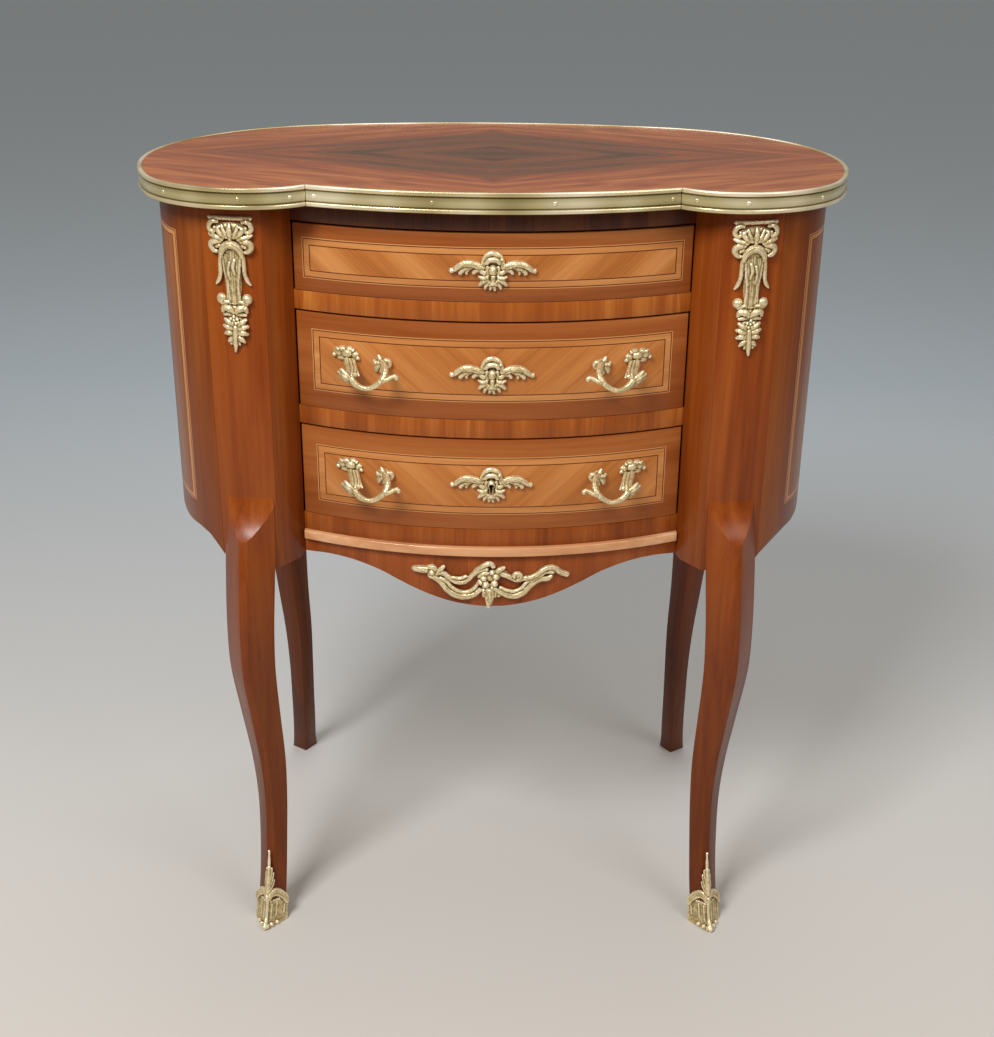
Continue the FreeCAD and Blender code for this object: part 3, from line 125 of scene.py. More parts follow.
class Finish:
    """A finish being mixed around one shader."""

    def __init__(self, name, **sockets):
        self.material = bpy.data.materials.new(name)
        self.material.use_nodes = True
        self.tree = self.material.node_tree
        self.shader = self.tree.nodes["Principled BSDF"]
        for socket, value in sockets.items():
            self.shader.inputs[socket.replace("_", " ")].default_value = value

    def add(self, kind, feeds=None, **settings):
        """One node with its settings, fed by values or by other nodes."""
        made = self.tree.nodes.new("ShaderNode" + kind)
        for key, value in settings.items():
            setattr(made, key, value)
        for socket, value in (feeds or {}).items():
            self.feed(made.inputs[socket], value)
        return made

    def feed(self, socket, value):
        if isinstance(value, bpy.types.NodeSocket):
            self.tree.links.new(value, socket)
        else:
            socket.default_value = value

    def place(self):
        return self.add("TexCoord").outputs["Object"]

    def turned(self, vector, turn=(0, 0, 0), scale=(1, 1, 1), shift=(0, 0, 0)):
        """Turns a pattern by degrees, then stretches it. The shift comes first."""
        moved = self.add("VectorMath", {0: vector, 1: shift}, operation="ADD").outputs[0]
        spun = self.add("VectorRotate", {"Vector": moved, "Rotation": [
            math.radians(a) for a in turn]}, rotation_type="EULER_XYZ").outputs[0]
        return self.add("VectorMath", {0: spun, 1: scale}, operation="MULTIPLY").outputs[0]

    def sum(self, operation, *values):
        return self.add("Math", dict(enumerate(values)), operation=operation).outputs[0]

    def noise(self, vector, scale, detail=3.0, rough=0.55, distort=0.0):
        return self.add("TexNoise", {"Vector": vector, "Scale": scale, "Detail": detail,
                                     "Roughness": rough, "Distortion": distort}).outputs[0]

    def ramp(self, value, *stops):
        made = self.add("ValToRGB", {"Fac": value})
        while len(made.color_ramp.elements) < len(stops):
            made.color_ramp.elements.new(1.0)
        for element, (position, shade) in zip(made.color_ramp.elements, stops):
            element.position = position
            element.color = paint(shade) if isinstance(shade, str) else [shade] * 3 + [1]
        return made.outputs["Color"]

    def mix(self, share, first, second, blend="MIX"):
        made = self.add("Mix", {0: share}, data_type="RGBA", blend_type=blend)
        for socket, value in ((made.inputs[6], first), (made.inputs[7], second)):
            self.feed(socket, paint(value) if isinstance(value, str) else value)
        return made.outputs[2]

    def spread(self, value, low, high, to_low=0.0, to_high=1.0):
        return self.add("MapRange", {"Value": value, "From Min": low, "From Max": high,
                                     "To Min": to_low, "To Max": to_high}).outputs[0]

    def split(self, vector):
        return self.add("SeparateXYZ", {0: vector}).outputs

    def joined(self, x, y, z):
        return self.add("CombineXYZ", {0: x, 1: y, 2: z}).outputs[0]

    def relief(self, height, strength, depth):
        made = self.add("Bump", {"Height": height, "Strength": strength, "Distance": depth})
        self.tree.links.new(made.outputs[0], self.shader.inputs["Normal"])

    def colour(self, value):
        self.feed(self.shader.inputs["Base Color"], value)

    def gloss(self, value):
        self.feed(self.shader.inputs["Roughness"], value)


print("a mid brown as light", [round(part, 3) for part in paint("7f5a3a")])

# %% [markdown]
# ## Veneer and solid wood
#
# Every wood here is one tone spread over three shades: broad bands, fine streaks and short
# pores, all stretched along the grain. What differs from part to part is which way the grain
# runs, how the leaves of veneer are matched, and how warm the shades are. A photographed wood
# texture would be quicker, but it would repeat and could not be matched leaf against leaf.

# %% Grain

BROAD_SHARE, FINE_SHARE, PORE_SHARE = 0.62, 0.30, 0.08
VARNISH = {"Specular_IOR_Level": 0.24, "Coat_Weight": 0.04, "Coat_Roughness": 0.15}
PORE_DEPTH = 0.00006


def stretched(finish, along, width):
    """Noise coordinates for streaks along the third axis, `width` times longer than wide."""
    return finish.add("VectorMath", {0: along, 1: (1, 1, 1 / width)},
                      operation="MULTIPLY").outputs[0]


def streaks(finish, along, pitch=1.0, wild=0.5):
    """How dark the wood is, from 0 to 1, with the grain along the third axis."""
    broad = finish.noise(stretched(finish, along, 14), 26 * pitch, 3, 0.5, wild)
    fine = finish.noise(stretched(finish, along, 30), 170 * pitch, 4, 0.6, 0.15)
    pores = finish.noise(stretched(finish, along, 18), 1100, 2, 0.6)
    tone = finish.sum("MULTIPLY_ADD", broad, BROAD_SHARE,
                      finish.sum("MULTIPLY", fine, FINE_SHARE))
    tone = finish.sum("MULTIPLY_ADD", pores, PORE_SHARE, tone)
    return finish.spread(tone, 0.30, 0.70), fine, pores


def shaded(finish, tone, shades):
    """Spreads a tone over three shades, from the darkest to the lightest."""
    return finish.ramp(tone, (0.0, shades[0]), (0.5, shades[1]), (1.0, shades[2]))


def varnished(finish, wood, fine, pores, rough=0.26):
    """Lays the varnish over a wood: glossier in the fine dark streaks, dimpled by the pores."""
    finish.colour(wood)
    finish.gloss(finish.spread(fine, 0.3, 0.7, rough, rough + 0.12))
    finish.relief(pores, 0.25, PORE_DEPTH)
    return finish.material


print("varnish", VARNISH)

# %% Plain polished woods

# painted shade at a leg's foot: deepest below the lower level, gone above the upper, in metres
FOOT_SHADE_LEVELS = (0.14, 0.48)


def polished(name, shades, turn=(0, 0, 0), shift=(0, 0, 0), pitch=1.0, wild=0.5,
             rough=0.25, foot_shade_tone=1.0, coat=0.04):
    """A french-polished wood whose grain runs up before the turn, with painted shade at the foot.
    """
    finish = Finish(name, **{**VARNISH, "Coat_Weight": coat})
    place = finish.place()
    tone, fine, pores = streaks(finish, finish.turned(place, turn, shift=shift), pitch, wild)
    # painted shade: the wood is multiplied darker towards the foot
    foot_shade = finish.spread(finish.split(place)[2], *FOOT_SHADE_LEVELS, foot_shade_tone, 1.0)
    foot_shaded = finish.mix(1.0, shaded(finish, tone, shades), finish.joined(foot_shade, foot_shade, foot_shade),
                      "MULTIPLY")
    return varnished(finish, foot_shaded, fine, pores, rough)


POST_SHADES = ("5f2100", "853c0b", "9c5219")
SIDE_SHADES = ("5e2204", "7c3b0c", "965220")
STILE_SHADES = ("5e2405", "7f3a0d", "97521d")
LEG_SHIFTS = {"leg_front_left": (0.3, 0.1, 0.0), "leg_front_right": (0.9, 0.5, 0.2),
              "leg_back_left": (1.7, 0.2, 0.4), "leg_back_right": (2.3, 0.8, 0.1)}
# the rear legs get deeper painted shade at the foot than the front ones
leg_woods = {name: polished(name + "_wood", POST_SHADES, shift=shift, wild=0.9,
                            foot_shade_tone=0.58 if "front" in name else 0.42)
             for name, shift in LEG_SHIFTS.items()}
stile_wood = polished("stile_wood", STILE_SHADES, shift=(0.4, 0.9, 0.3))
back_wood = polished("back_wood", SIDE_SHADES, shift=(0.7, 0.4, 0.9), pitch=0.7)
lining_wood = polished("lining_wood", ("a07a48", "b8925c", "caa873"), turn=(90, 0, 0),
                       rough=0.50)
# the moulding's shades are lightened to paint the highlight along its round
moulding_wood = polished("moulding_wood", ("b07040", "d29a6c", "eec8a0"), turn=(0, 90, 0),
                         rough=0.09, coat=0.8)
print("woods", len(leg_woods) + 4)

# %% [markdown]
# ## Strung panels
#
# The drawer fronts and the bent sides carry a frame of stringing: a thin light line, a thin
# dark one, a band of satinwood and a second dark line, let flush into the veneer. They could
# be strips of their own, but flush inlay has no thickness to model, so the finish measures how
# far a spot lies outside or inside a rectangle and changes wood at each line.

# %% Stringing

STRING_MM = 0.8
SOFT_MM = 0.12
DARK_STRING = "4a1c08"
LIGHT_STRING = "c68a52"


def frame_depth(finish, across, up, centre, half):
    """How deep a spot lies inside a rectangle, in metres. Negative outside."""
    from_side = finish.sum("ABSOLUTE", finish.sum("SUBTRACT", across, centre[0]))
    from_top = finish.sum("ABSOLUTE", finish.sum("SUBTRACT", up, centre[1]))
    deep_side = finish.sum("SUBTRACT", half[0], from_side)
    deep_top = finish.sum("SUBTRACT", half[1], from_top)
    return finish.sum("MINIMUM", deep_side, deep_top)


def past(finish, depth, millimetres):
    """One where the depth is past a line, zero before it, with a hair of softness."""
    return finish.spread(depth, (millimetres - SOFT_MM) * MM, (millimetres + SOFT_MM) * MM)


def strung(finish, depth, band_mm, border, band, panel):
    """Border outside the frame, then the strings and the band, then the panel."""
    wood = finish.mix(past(finish, depth, -STRING_MM), border, LIGHT_STRING)
    wood = finish.mix(past(finish, depth, 0), wood, DARK_STRING)
    wood = finish.mix(past(finish, depth, STRING_MM), wood, band)
    wood = finish.mix(past(finish, depth, band_mm), wood, DARK_STRING)
    return finish.mix(past(finish, depth, band_mm + STRING_MM), wood, panel)


print("strings", STRING_MM, "mm wide")

# %% The drawer fronts

PANEL_SHADES = ("96521f", "b47036", "cc8c50")
BORDER_SHADES = ("7f3d0f", "965224", "aa6a34")
BAND_SHADES = ("a5612b", "bb7a42", "cc9058")
MATCH_DEGREES = 42
# each drawer's frame: the middle of its height, its half width and half height, its band
DRAWER_FRAMES = {1: (679.3, 165.7, 17.2, 6.4), 2: (587.3, 160.0, 27.8, 6.6),
                 3: (478.5, 160.0, 27.1, 7.2)}


def drawer_veneer(number):
    """Two leaves matched at the middle of the front, with the grain rising outwards."""
    middle, half_width, half_height, band_mm = DRAWER_FRAMES[number]
    finish = Finish("drawer_%d_veneer" % number, **VARNISH)
    spot = finish.split(finish.place())
    folded = finish.sum("ABSOLUTE", spot[0])
    angle = math.radians(MATCH_DEGREES)
    rise = finish.sum("MULTIPLY_ADD", folded, math.cos(angle),
                      finish.sum("MULTIPLY", spot[2], math.sin(angle)))
    cross = finish.sum("SUBTRACT", finish.sum("MULTIPLY", spot[2], math.cos(angle)),
                       finish.sum("MULTIPLY", folded, math.sin(angle)))
    leaf = finish.joined(cross, number * 0.37, rise)
    tone, fine, pores = streaks(finish, leaf, 2.0, 0.25)
    panel = shaded(finish, tone, PANEL_SHADES)
    level_grain = finish.joined(spot[2], number * 0.9, spot[0])
    border = shaded(finish, streaks(finish, level_grain, 1.4)[0], BORDER_SHADES)
    band = shaded(finish, streaks(finish, level_grain, 3.0, 0.1)[0], BAND_SHADES)
    depth = frame_depth(finish, spot[0], spot[2], (0, middle * MM),
                        (half_width * MM, half_height * MM))
    wood = strung(finish, depth, band_mm - STRING_MM, border, band, panel)
    return varnished(finish, wood, fine, pores)


drawer_veneers = {number: drawer_veneer(number) for number in DRAWER_FRAMES}
print("drawer veneers", len(drawer_veneers))

# %% The bent sides

SIDE_PANEL_SHADES = ("692b0a", "854617", "9f602c")
# the frame on a side: its middle and its half sizes, from front to back and upwards, in metres
SIDE_FRAME = ((-0.016, 0.573), (0.109, 0.127))
SIDE_BAND_MM = 4.6


def side_veneer():
    """The bent sides: upright grain in a frame that stands off the front post."""
    finish = Finish("side_veneer", **VARNISH)
    place = finish.place()
    spot = finish.split(place)
    tone, fine, pores = streaks(finish, finish.turned(place, shift=(0.2, 0.6, 0.1)), 0.9, 0.8)
    inner_tone = streaks(finish, finish.turned(place, shift=(1.2, 0.1, 0.7)), 1.1, 0.8)[0]
    border = shaded(finish, tone, SIDE_SHADES)
    panel = shaded(finish, inner_tone, SIDE_PANEL_SHADES)
    band = shaded(finish, inner_tone, BAND_SHADES)
    depth = frame_depth(finish, spot[1], spot[2], *SIDE_FRAME)
    return varnished(finish, strung(finish, depth, SIDE_BAND_MM, border, band, panel), fine, pores)


side_wood = side_veneer()
print("side veneer", side_wood.name)

# %% [markdown]
# ## Cross-banding
#
# The rails and the apron are veneered with short lengths laid upright, side by side, so their
# tone changes from length to length. A step pattern along the rail picks a tone for each
# length, and the grain stands upright inside it.

# %% The cross-banded rails

LENGTHS_PER_METRE = 42
GRAIN_SHARE, LENGTH_SHARE = 0.72, 0.28


def crossbanded(name, shades, shift):
    """Short upright lengths side by side, each a little lighter or darker than the next."""
    finish = Finish(name, **VARNISH)
    place = finish.turned(finish.place(), shift=(shift, 0.0, 0.0))
    spot = finish.split(place)
    tone, fine, pores = streaks(finish, place, 2.4, 0.2)
    wander = finish.noise(place, 9, 1)
    lengths = finish.sum("FLOOR", finish.sum("MULTIPLY_ADD", spot[0], LENGTHS_PER_METRE,
                                              wander))
    pick = finish.add("TexWhiteNoise", {"W": lengths}, noise_dimensions="1D").outputs[0]
    tone = finish.sum("MULTIPLY_ADD", tone, GRAIN_SHARE,
                      finish.sum("MULTIPLY", pick, LENGTH_SHARE))
    return varnished(finish, shaded(finish, tone, shades), fine, pores)


# the top rail's shades are darkened to paint the shadow that the brass edge casts over it
RAIL_SHADES = {"top_rail": ("34120a", "4e240f", "683a18"),
               "upper_rail": ("7c3a0a", "9c521b", "c07a34"),
               "lower_rail": ("6a2c0a", "984f1a", "bc7236"),
               "bottom_rail": ("5c2408", "884212", "a05a26"),
               "apron": ("6e300a", "92481a", "a85e2c")}
rail_woods = {name: crossbanded(name + "_wood", shades, index * 0.61)
              for index, (name, shades) in enumerate(RAIL_SHADES.items())}
print("cross-banded", sorted(rail_woods))

# %% [markdown]
# ## The quarter-matched top
#
# Four leaves of a dark figured veneer meet at the middle of the top, each a mirror of its
# neighbours, so the grain closes into nested diamonds that are twice as wide as deep. Folding
# the coordinates over both seams gives exactly that match from a single streak pattern.

# %% The top's veneer

TOP_SEAM_Y = 0.012
DIAMOND_DEGREES = 25
STREAK_SHARE, CLOUD_SHARE, HEART_SHARE = 0.24, 0.62, 0.40
HEART_WIDTH = 0.17


def top_veneer():
    """Four mirrored leaves, darkest at the heart, clouded and lightly streaked."""
    finish = Finish("top_veneer_polish", **VARNISH)
    spot = finish.split(finish.place())
    folded_x = finish.sum("ABSOLUTE", spot[0])
    folded_y = finish.sum("ABSOLUTE", finish.sum("SUBTRACT", spot[1], TOP_SEAM_Y))
    angle = math.radians(DIAMOND_DEGREES)
    along = finish.sum("SUBTRACT", finish.sum("MULTIPLY", folded_x, math.cos(angle)),
                       finish.sum("MULTIPLY", folded_y, math.sin(angle)))
    across = finish.sum("MULTIPLY_ADD", folded_x, math.sin(angle),
                        finish.sum("MULTIPLY", folded_y, math.cos(angle)))
    leaf = finish.joined(across, 0.4, along)
    tone, fine, pores = streaks(finish, leaf, 1.3, 1.9)
    clouds = finish.noise(stretched(finish, leaf, 4), 19, 5, 0.6, 2.6)
    heart = finish.spread(across, 0.0, HEART_WIDTH)
    tone = finish.sum("MULTIPLY_ADD", tone, STREAK_SHARE,
                      finish.sum("MULTIPLY", clouds, CLOUD_SHARE))
    tone = finish.sum("MULTIPLY_ADD", heart, HEART_SHARE, tone)
    finish.colour(finish.ramp(tone, (0.30, "28180f"), (0.44, "49301f"), (0.58, "683e28"),
                              (0.74, "88472a"), (0.95, "b06a3c")))
    finish.gloss(finish.spread(fine, 0.3, 0.7, 0.22, 0.36))
    finish.relief(pores, 0.2, 0.00005)
    return finish.material


top_polish = top_veneer()
print("top", top_polish.name)

# %% [markdown]
# ## Metals
#
# The edge is drawn brass with a greenish cast, with painted shade in its grooves and painted
# highlights on its beads. The mounts are cast and gilt, with painted shade in their hollows and
# painted highlights where they stand out, and the lock is plain steel. The hollows are found on
# the mesh itself and kept in a colour layer, so the finish reads the same from every side.

# %% Brass

EDGE_FOOT, EDGE_TOP = 0.728, 0.746
# painted shade in the two grooves, painted highlights on the beads and a green cast on the sunk
# band, from the strip's foot up
RIM_SHADE_AND_HIGHLIGHT = [(0.0, "a89868"), (0.08, "ffffff"), (0.19, "fffaf0"), (0.22, "948c70"),
             (0.26, "a09878"), (0.31, "e4e4d0"), (0.50, "fafaee"), (0.70, "d6d6bc"),
             (0.75, "80785c"), (0.79, "9c9478"), (0.84, "fffaf0"), (1.0, "ffffff")]


def drawn_brass(name, shade_and_highlight=None):
    """Brass in light and dark clouds, with painted shade and highlights by its height where given.
    """
    finish = Finish(name, Metallic=0.6)
    place = finish.place()
    cloud = finish.noise(place, 11, 2, 0.5)
    grains = finish.noise(place, 900, 2, 0.5)
    metal = finish.ramp(cloud, (0.34, "a89668"), (0.50, "d8caa0"), (0.64, "fff4dc"))
    if shade_and_highlight:
        # painted shade in the grooves and painted highlights on the beads, by height on the edge
        level = finish.spread(finish.split(place)[2], EDGE_FOOT, EDGE_TOP)
        metal = finish.mix(1.0, metal, finish.ramp(level, *shade_and_highlight), "MULTIPLY")
    finish.colour(metal)
    finish.gloss(finish.spread(cloud, 0.3, 0.7, 0.20, 0.32))
    finish.relief(grains, 0.15, 0.00004)
    return finish.material


rim_brass = drawn_brass("rim_brass_metal", RIM_SHADE_AND_HIGHLIGHT)
pin_brass = drawn_brass("rim_pin_metal")
print("brass", rim_brass.name, pin_brass.name)

# %% Gilding and steel

RELIEF_LAYER = "hollows"
# how much the clouds of tone and the painted shade of the hollows each weigh
GILT_CLOUD_SHARE, HOLLOW_SHADE_SHARE = 0.30, 0.85


def gilding():
    """Gilt bronze: painted highlights where it stands out, painted shade in the mesh's hollows."""
    finish = Finish("gilt_bronze_metal", Metallic=0.55)
    place = finish.place()
    hollow = finish.add("Attribute", attribute_name=RELIEF_LAYER).outputs["Fac"]
    cloud = finish.noise(place, 150, 4, 0.6)
    tone_and_hollow_shade = finish.sum("MULTIPLY_ADD", cloud, GILT_CLOUD_SHARE,
                      finish.sum("MULTIPLY", hollow, HOLLOW_SHADE_SHARE))
    # painted shade in the hollows and painted highlights on the proud parts, over clouds of tone
    finish.colour(finish.ramp(tone_and_hollow_shade, (0.27, "2e2010"), (0.43, "7e6a42"), (0.55, "b49e6e"),
                              (0.68, "ead8ac"), (0.84, "fff4dc")))
    finish.gloss(finish.spread(tone_and_hollow_shade, 0.3, 0.9, 0.50, 0.22))
    finish.relief(finish.noise(place, 1600, 3, 0.6), 0.25, PORE_DEPTH)
    return finish.material


def plain_steel():
    """Steel in faint clouds, for the lock and the nuts."""
    finish = Finish("lock_steel", Metallic=1.0)
    cloud = finish.noise(finish.place(), 60, 3, 0.6)
    finish.colour(finish.ramp(cloud, (0.3, "77726a"), (0.7, "a09b92")))
    finish.gloss(finish.spread(cloud, 0.3, 0.7, 0.3, 0.5))
    return finish.material


gilt_bronze = gilding()
steel = plain_steel()
print("metals", gilt_bronze.name, steel.name)

# %% [markdown]
# ## Hand tools
#
# The same few moves come back for every wooden piece: pick one object and nothing else, draw
# an outline corner by corner, pull it up, slice it with a plane, ease its sharp edges, and at
# the end settle it on the body that carries it.

# %% Picking and naming


def pick(*things):
    """Selects these objects and nothing else, and makes the last one active."""
    if bpy.context.object and bpy.context.object.mode != "OBJECT":
        bpy.ops.object.mode_set(mode="OBJECT")
    bpy.ops.object.select_all(action="DESELECT")
    for thing in things:
        thing.select_set(True)
    bpy.context.view_layer.objects.active = things[-1]


def into_mesh(piece):
    """Edit mode with everything selected."""
    pick(piece)
    bpy.ops.object.mode_set(mode="EDIT")
    bpy.ops.mesh.select_all(action="SELECT")


def named(name):
    """Gives the new primitive its name and leaves nothing else selected."""
    piece = bpy.context.object
    piece.name = name
    piece.data.name = name
    pick(piece)
    return piece


# %% Drawing, pulling and slicing


def drawn(name, corners):
    """A flat outline drawn by extruding one point from corner to corner, then filled."""
    bpy.ops.mesh.primitive_plane_add(size=MM, location=corners[0])
    piece = named(name)
    into_mesh(piece)
    bpy.ops.mesh.merge(type="CENTER")
    for here, there in zip(corners, corners[1:]):
        step = tuple(b - a for a, b in zip(here, there))
        bpy.ops.mesh.extrude_vertices_move(TRANSFORM_OT_translate={"value": step})
    bpy.ops.mesh.select_all(action="SELECT")
    bpy.ops.mesh.edge_face_add()
    bpy.ops.object.mode_set(mode="OBJECT")
    bpy.ops.object.transform_apply(location=True, rotation=True, scale=True)
    return piece


def pulled(piece, step):
    """Extrudes the whole outline by a step."""
    into_mesh(piece)
    bpy.ops.mesh.extrude_region_move(TRANSFORM_OT_translate={"value": step})
    bpy.ops.object.mode_set(mode="OBJECT")
    return piece


def sliced(piece, point, away):
    """Cuts off what lies beyond a plane and closes the cut."""
    into_mesh(piece)
    bpy.ops.mesh.bisect(plane_co=point, plane_no=away, use_fill=True, clear_outer=True)
    bpy.ops.object.mode_set(mode="OBJECT")
    return piece


def tidied(piece):
    """Merges doubles and turns every face outwards."""
    into_mesh(piece)
    bpy.ops.mesh.remove_doubles(threshold=0.00001)
    bpy.ops.mesh.select_all(action="SELECT")
    bpy.ops.mesh.normals_make_consistent(inside=False)
    bpy.ops.object.mode_set(mode="OBJECT")
    return piece


# %% Modifiers, cutters and copies

# how far the edges of each kind of piece are eased, in millimetres
EASES = {"rail": 0.5, "front": 0.7, "apron": 0.8, "stile": 0.6, "side": 0.35, "post": 0.3}


def modified(piece, kind, **settings):
    """Adds one modifier and applies it."""
    pick(piece)
    modifier = piece.modifiers.new(kind.lower(), kind)
    for key, value in settings.items():
        setattr(modifier, key, value)
    bpy.ops.object.modifier_apply(modifier=modifier.name)
    return piece


def bored(piece, bit):
    """Cuts a hole with a bit, which is then put away."""
    modified(piece, "BOOLEAN", operation="DIFFERENCE", solver="EXACT", object=bit)
    bpy.data.objects.remove(bit)
    return piece


def block(name, low, high):
    """A box between two corners, in millimetres."""
    middle = [(a + b) / 2 * MM for a, b in zip(low, high)]
    bpy.ops.mesh.primitive_cube_add(size=1, location=middle)
    piece = named(name)
    bpy.ops.transform.resize(value=[(b - a) * MM for a, b in zip(low, high)])
    bpy.ops.object.transform_apply(location=True, rotation=True, scale=True)
    return piece


def eased(piece, width_mm, degrees=35, segments=2):
    """Rounds the sharp edges over, as a plane and a scraper leave them."""
    return modified(piece, "BEVEL", width=width_mm * MM, segments=segments,
                    limit_method="ANGLE", angle_limit=math.radians(degrees),
                    miter_outer="MITER_ARC", use_clamp_overlap=True)


def mirrored(piece, name):
    """A left-hand copy of a right-hand piece, with its own mesh."""
    pick(piece)
    bpy.ops.object.duplicate()
    copy = named(name)
    bpy.ops.transform.resize(value=(-1, 1, 1), center_override=(0, 0, 0))
    bpy.ops.object.transform_apply(location=True, rotation=True, scale=True)
    return tidied(copy)


# %% Settling


def settled(piece, body, slot, finish, *stands_for, degrees=35):
    """Puts the piece's place into its mesh, gives it its finish and hangs it on its body."""
    pick(piece)
    bpy.ops.object.transform_apply(location=True, rotation=True, scale=True)
    bpy.ops.object.shade_smooth_by_angle(angle=math.radians(degrees))
    piece.data.materials.clear()
    piece.data.materials.append(finish)
    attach(piece, body)
    if stands_for:
        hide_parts(*stands_for)
    print(piece.name, "on", body, len(piece.data.polygons), "faces")
    return piece


# %% [markdown]
# ## The plan
#
# The whole chest grows from one plan: a bow in front, two lobes at the corners, bent sides and
# a long bowed back, each an arc. The body stands in from the brass edge by the overhang, so it
# has the same centres and smaller radii. These are the numbers that the solids were drawn to.

# %% The arcs of the plan

OVERHANG = 17.0
BOW_CENTRE, BOW_RADIUS = (0.0, 241.0), 410.0
# the arcs of the right half, from the front crown of the lobe to the back
ARCS = {"inner": ((208.0, -100.5), 75.0), "lobe": ((208.0, -70.0), 105.5),
        "side": ((85.0, -15.6), 240.0), "corner": ((125.3, -15.6), 199.7),
        "back": ((0.0, -500.0), 700.0), "bow": ((0.0, 259.0), 445.0)}
LOBE_END, CORNER_END = -23.9, 75.5


def on_arc(arc, degrees, inset=0.0):
    """A plan point on an arc, at a direction counted from the right towards the back."""
    (x, y), radius = ARCS[arc]
    turn = math.radians(degrees)
    return (x + (radius - inset) * math.cos(turn), y + (radius - inset) * math.sin(turn))


def along_arc(arc, start, end, inset, steps):
    """Plan points from one direction on an arc to another, both included."""
    return [on_arc(arc, start + (end - start) * i / steps, inset) for i in range(steps + 1)]


def turn_at_x(arc, x, inset=0.0, front=True):
    """The direction on an arc, in degrees, of its point at x."""
    centre, radius = ARCS[arc]
    turn = math.degrees(math.acos((x - centre[0]) / (radius - inset)))
    return -turn if front else turn


def bow_y(x, out=0.0):
    """The y of the bowed fronts at x, or of a face that stands out from them."""
    return BOW_CENTRE[1] - math.sqrt((BOW_RADIUS + out) ** 2 - x ** 2)


def at_level(points, level):
    """Plan points lifted to a level, in metres."""
    return [(x * MM, y * MM, level * MM) for x, y in points]


def upright(name, points, low, high):
    """A board with this plan between two levels."""
    piece = drawn(name, at_level(points, low))
    return pulled(piece, (0, 0, (high - low) * MM))


print("lobe crown", [round(v, 1) for v in on_arc("lobe", -90, OVERHANG)])

# %% [markdown]
# ## The bowed boards
#
# Rails and drawer fronts are sawn to one bow. A rail is a slice of a large disc: the disc is
# cut to width and depth with three planes and pulled up to its height, which is quicker and
# truer than bending a bar. Its edges are eased so that a thin light line runs along them.

# %% Rails

BODY_TOP = 728.0
OPENING_HALF = 176.0
POST_BACK = -104.0
RAIL_LEVELS = {"top_rail": (710.8, 728.0), "upper_rail": (632.2, 649.4),
               "lower_rail": (524.8, 542.0), "bottom_rail": (418.6, 435.8)}
BOW_SIDES = 1080
# the room round the lock's bolt, and how far its mortise goes into the rail below that room
BOLT_ROOM, MORTISE_DEPTH = 0.4, 9.8
# how far a bit runs on past the face that it cuts
THROUGH = 5.0


def cut_square(piece, half):
    """Cuts both ends of a bowed piece square."""
    sliced(piece, (half * MM, 0, 0), (1, 0, 0))
    return sliced(piece, (-half * MM, 0, 0), (-1, 0, 0))


def bowed_board(name, low, high):
    """A slice of a disc as wide as the opening, from the bow to the back of the posts."""
    bpy.ops.mesh.primitive_circle_add(
        vertices=BOW_SIDES, radius=BOW_RADIUS * MM, fill_type="NGON",
        location=(BOW_CENTRE[0] * MM, BOW_CENTRE[1] * MM, low * MM))
    piece = named(name)
    bpy.ops.object.transform_apply(location=True, rotation=True, scale=True)
    cut_square(piece, OPENING_HALF)
    sliced(piece, (0, POST_BACK * MM, 0), (0, 1, 0))
    return pulled(piece, (0, 0, (high - low) * MM))


def bolt_mortise():
    """The room in the lower rail that the lock's bolt shoots into."""
    low, high = [[v / MM for v in corner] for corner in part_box("lock_bolt")]
    foot = RAIL_LEVELS["lower_rail"][0]
    return block("bolt_mortise", (low[0] - BOLT_ROOM, low[1] - BOLT_ROOM, foot - THROUGH),
                 (high[0] + BOLT_ROOM, high[1] + BOLT_ROOM, foot + MORTISE_DEPTH + BOLT_ROOM))


for name, (low, high) in RAIL_LEVELS.items():
    rail = bowed_board(name + "_veneered", low, high)
    eased(tidied(rail), EASES["rail"])
    if name == "lower_rail":
        bored(rail, bolt_mortise())
    settled(rail, "carcass", "crossbanding", rail_woods[name], name)

# %% [markdown]
# ## Drawer fronts
#
# A drawer front is as thick at its ends as in the middle, so its back follows the bow too. A
# small upright rectangle is spun about the centre of the bow and the two ends are cut square.
# The bottom front has a real keyhole, and that is cut with a round bit and a slot.

# %% Fronts

FRONT_THICKNESS = 18.0
FRONT_HALF = 174.5
FRONT_LEVELS = {1: (649.8, 708.9), 2: (542.4, 630.4), 3: (436.2, 523.0)}
DRAWER_BODIES = {1: "drawer_top", 2: "drawer_middle", 3: "drawer_bottom"}
HALF_SWING, SWING_STEPS = 27, 160


def spun(name, radius, low, high, depth, steps=SWING_STEPS):
    """An upright rectangle spun about the centre of the bow, from left to right."""
    turn = math.radians(HALF_SWING)
    middle = (radius - depth / 2) * MM
    place = (BOW_CENTRE[0] * MM - middle * math.sin(turn),
             BOW_CENTRE[1] * MM - middle * math.cos(turn), (low + high) / 2 * MM)
    bpy.ops.mesh.primitive_plane_add(size=1, location=place,
                                     rotation=(math.pi / 2, 0, math.pi / 2 - turn))
    piece = named(name)
    bpy.ops.transform.resize(value=(depth * MM, (high - low) * MM, 1),
                             orient_type="LOCAL")
    bpy.ops.object.transform_apply(location=True, rotation=True, scale=True)
    into_mesh(piece)
    bpy.ops.mesh.spin(steps=steps, angle=-2 * turn, axis=(0, 0, 1),
                      center=(BOW_CENTRE[0] * MM, BOW_CENTRE[1] * MM, 0))
    bpy.ops.object.mode_set(mode="OBJECT")
    return piece


print("drawer fronts", FRONT_LEVELS)

# %% The keyhole

KEYHOLE_LEVEL, KEYHOLE_RADIUS = 480.4, 2.6
SLOT_WIDTH, SLOT_HEIGHT, SLOT_DROP = 2.4, 7.0, 4.0
BIT_LENGTH = 100.0


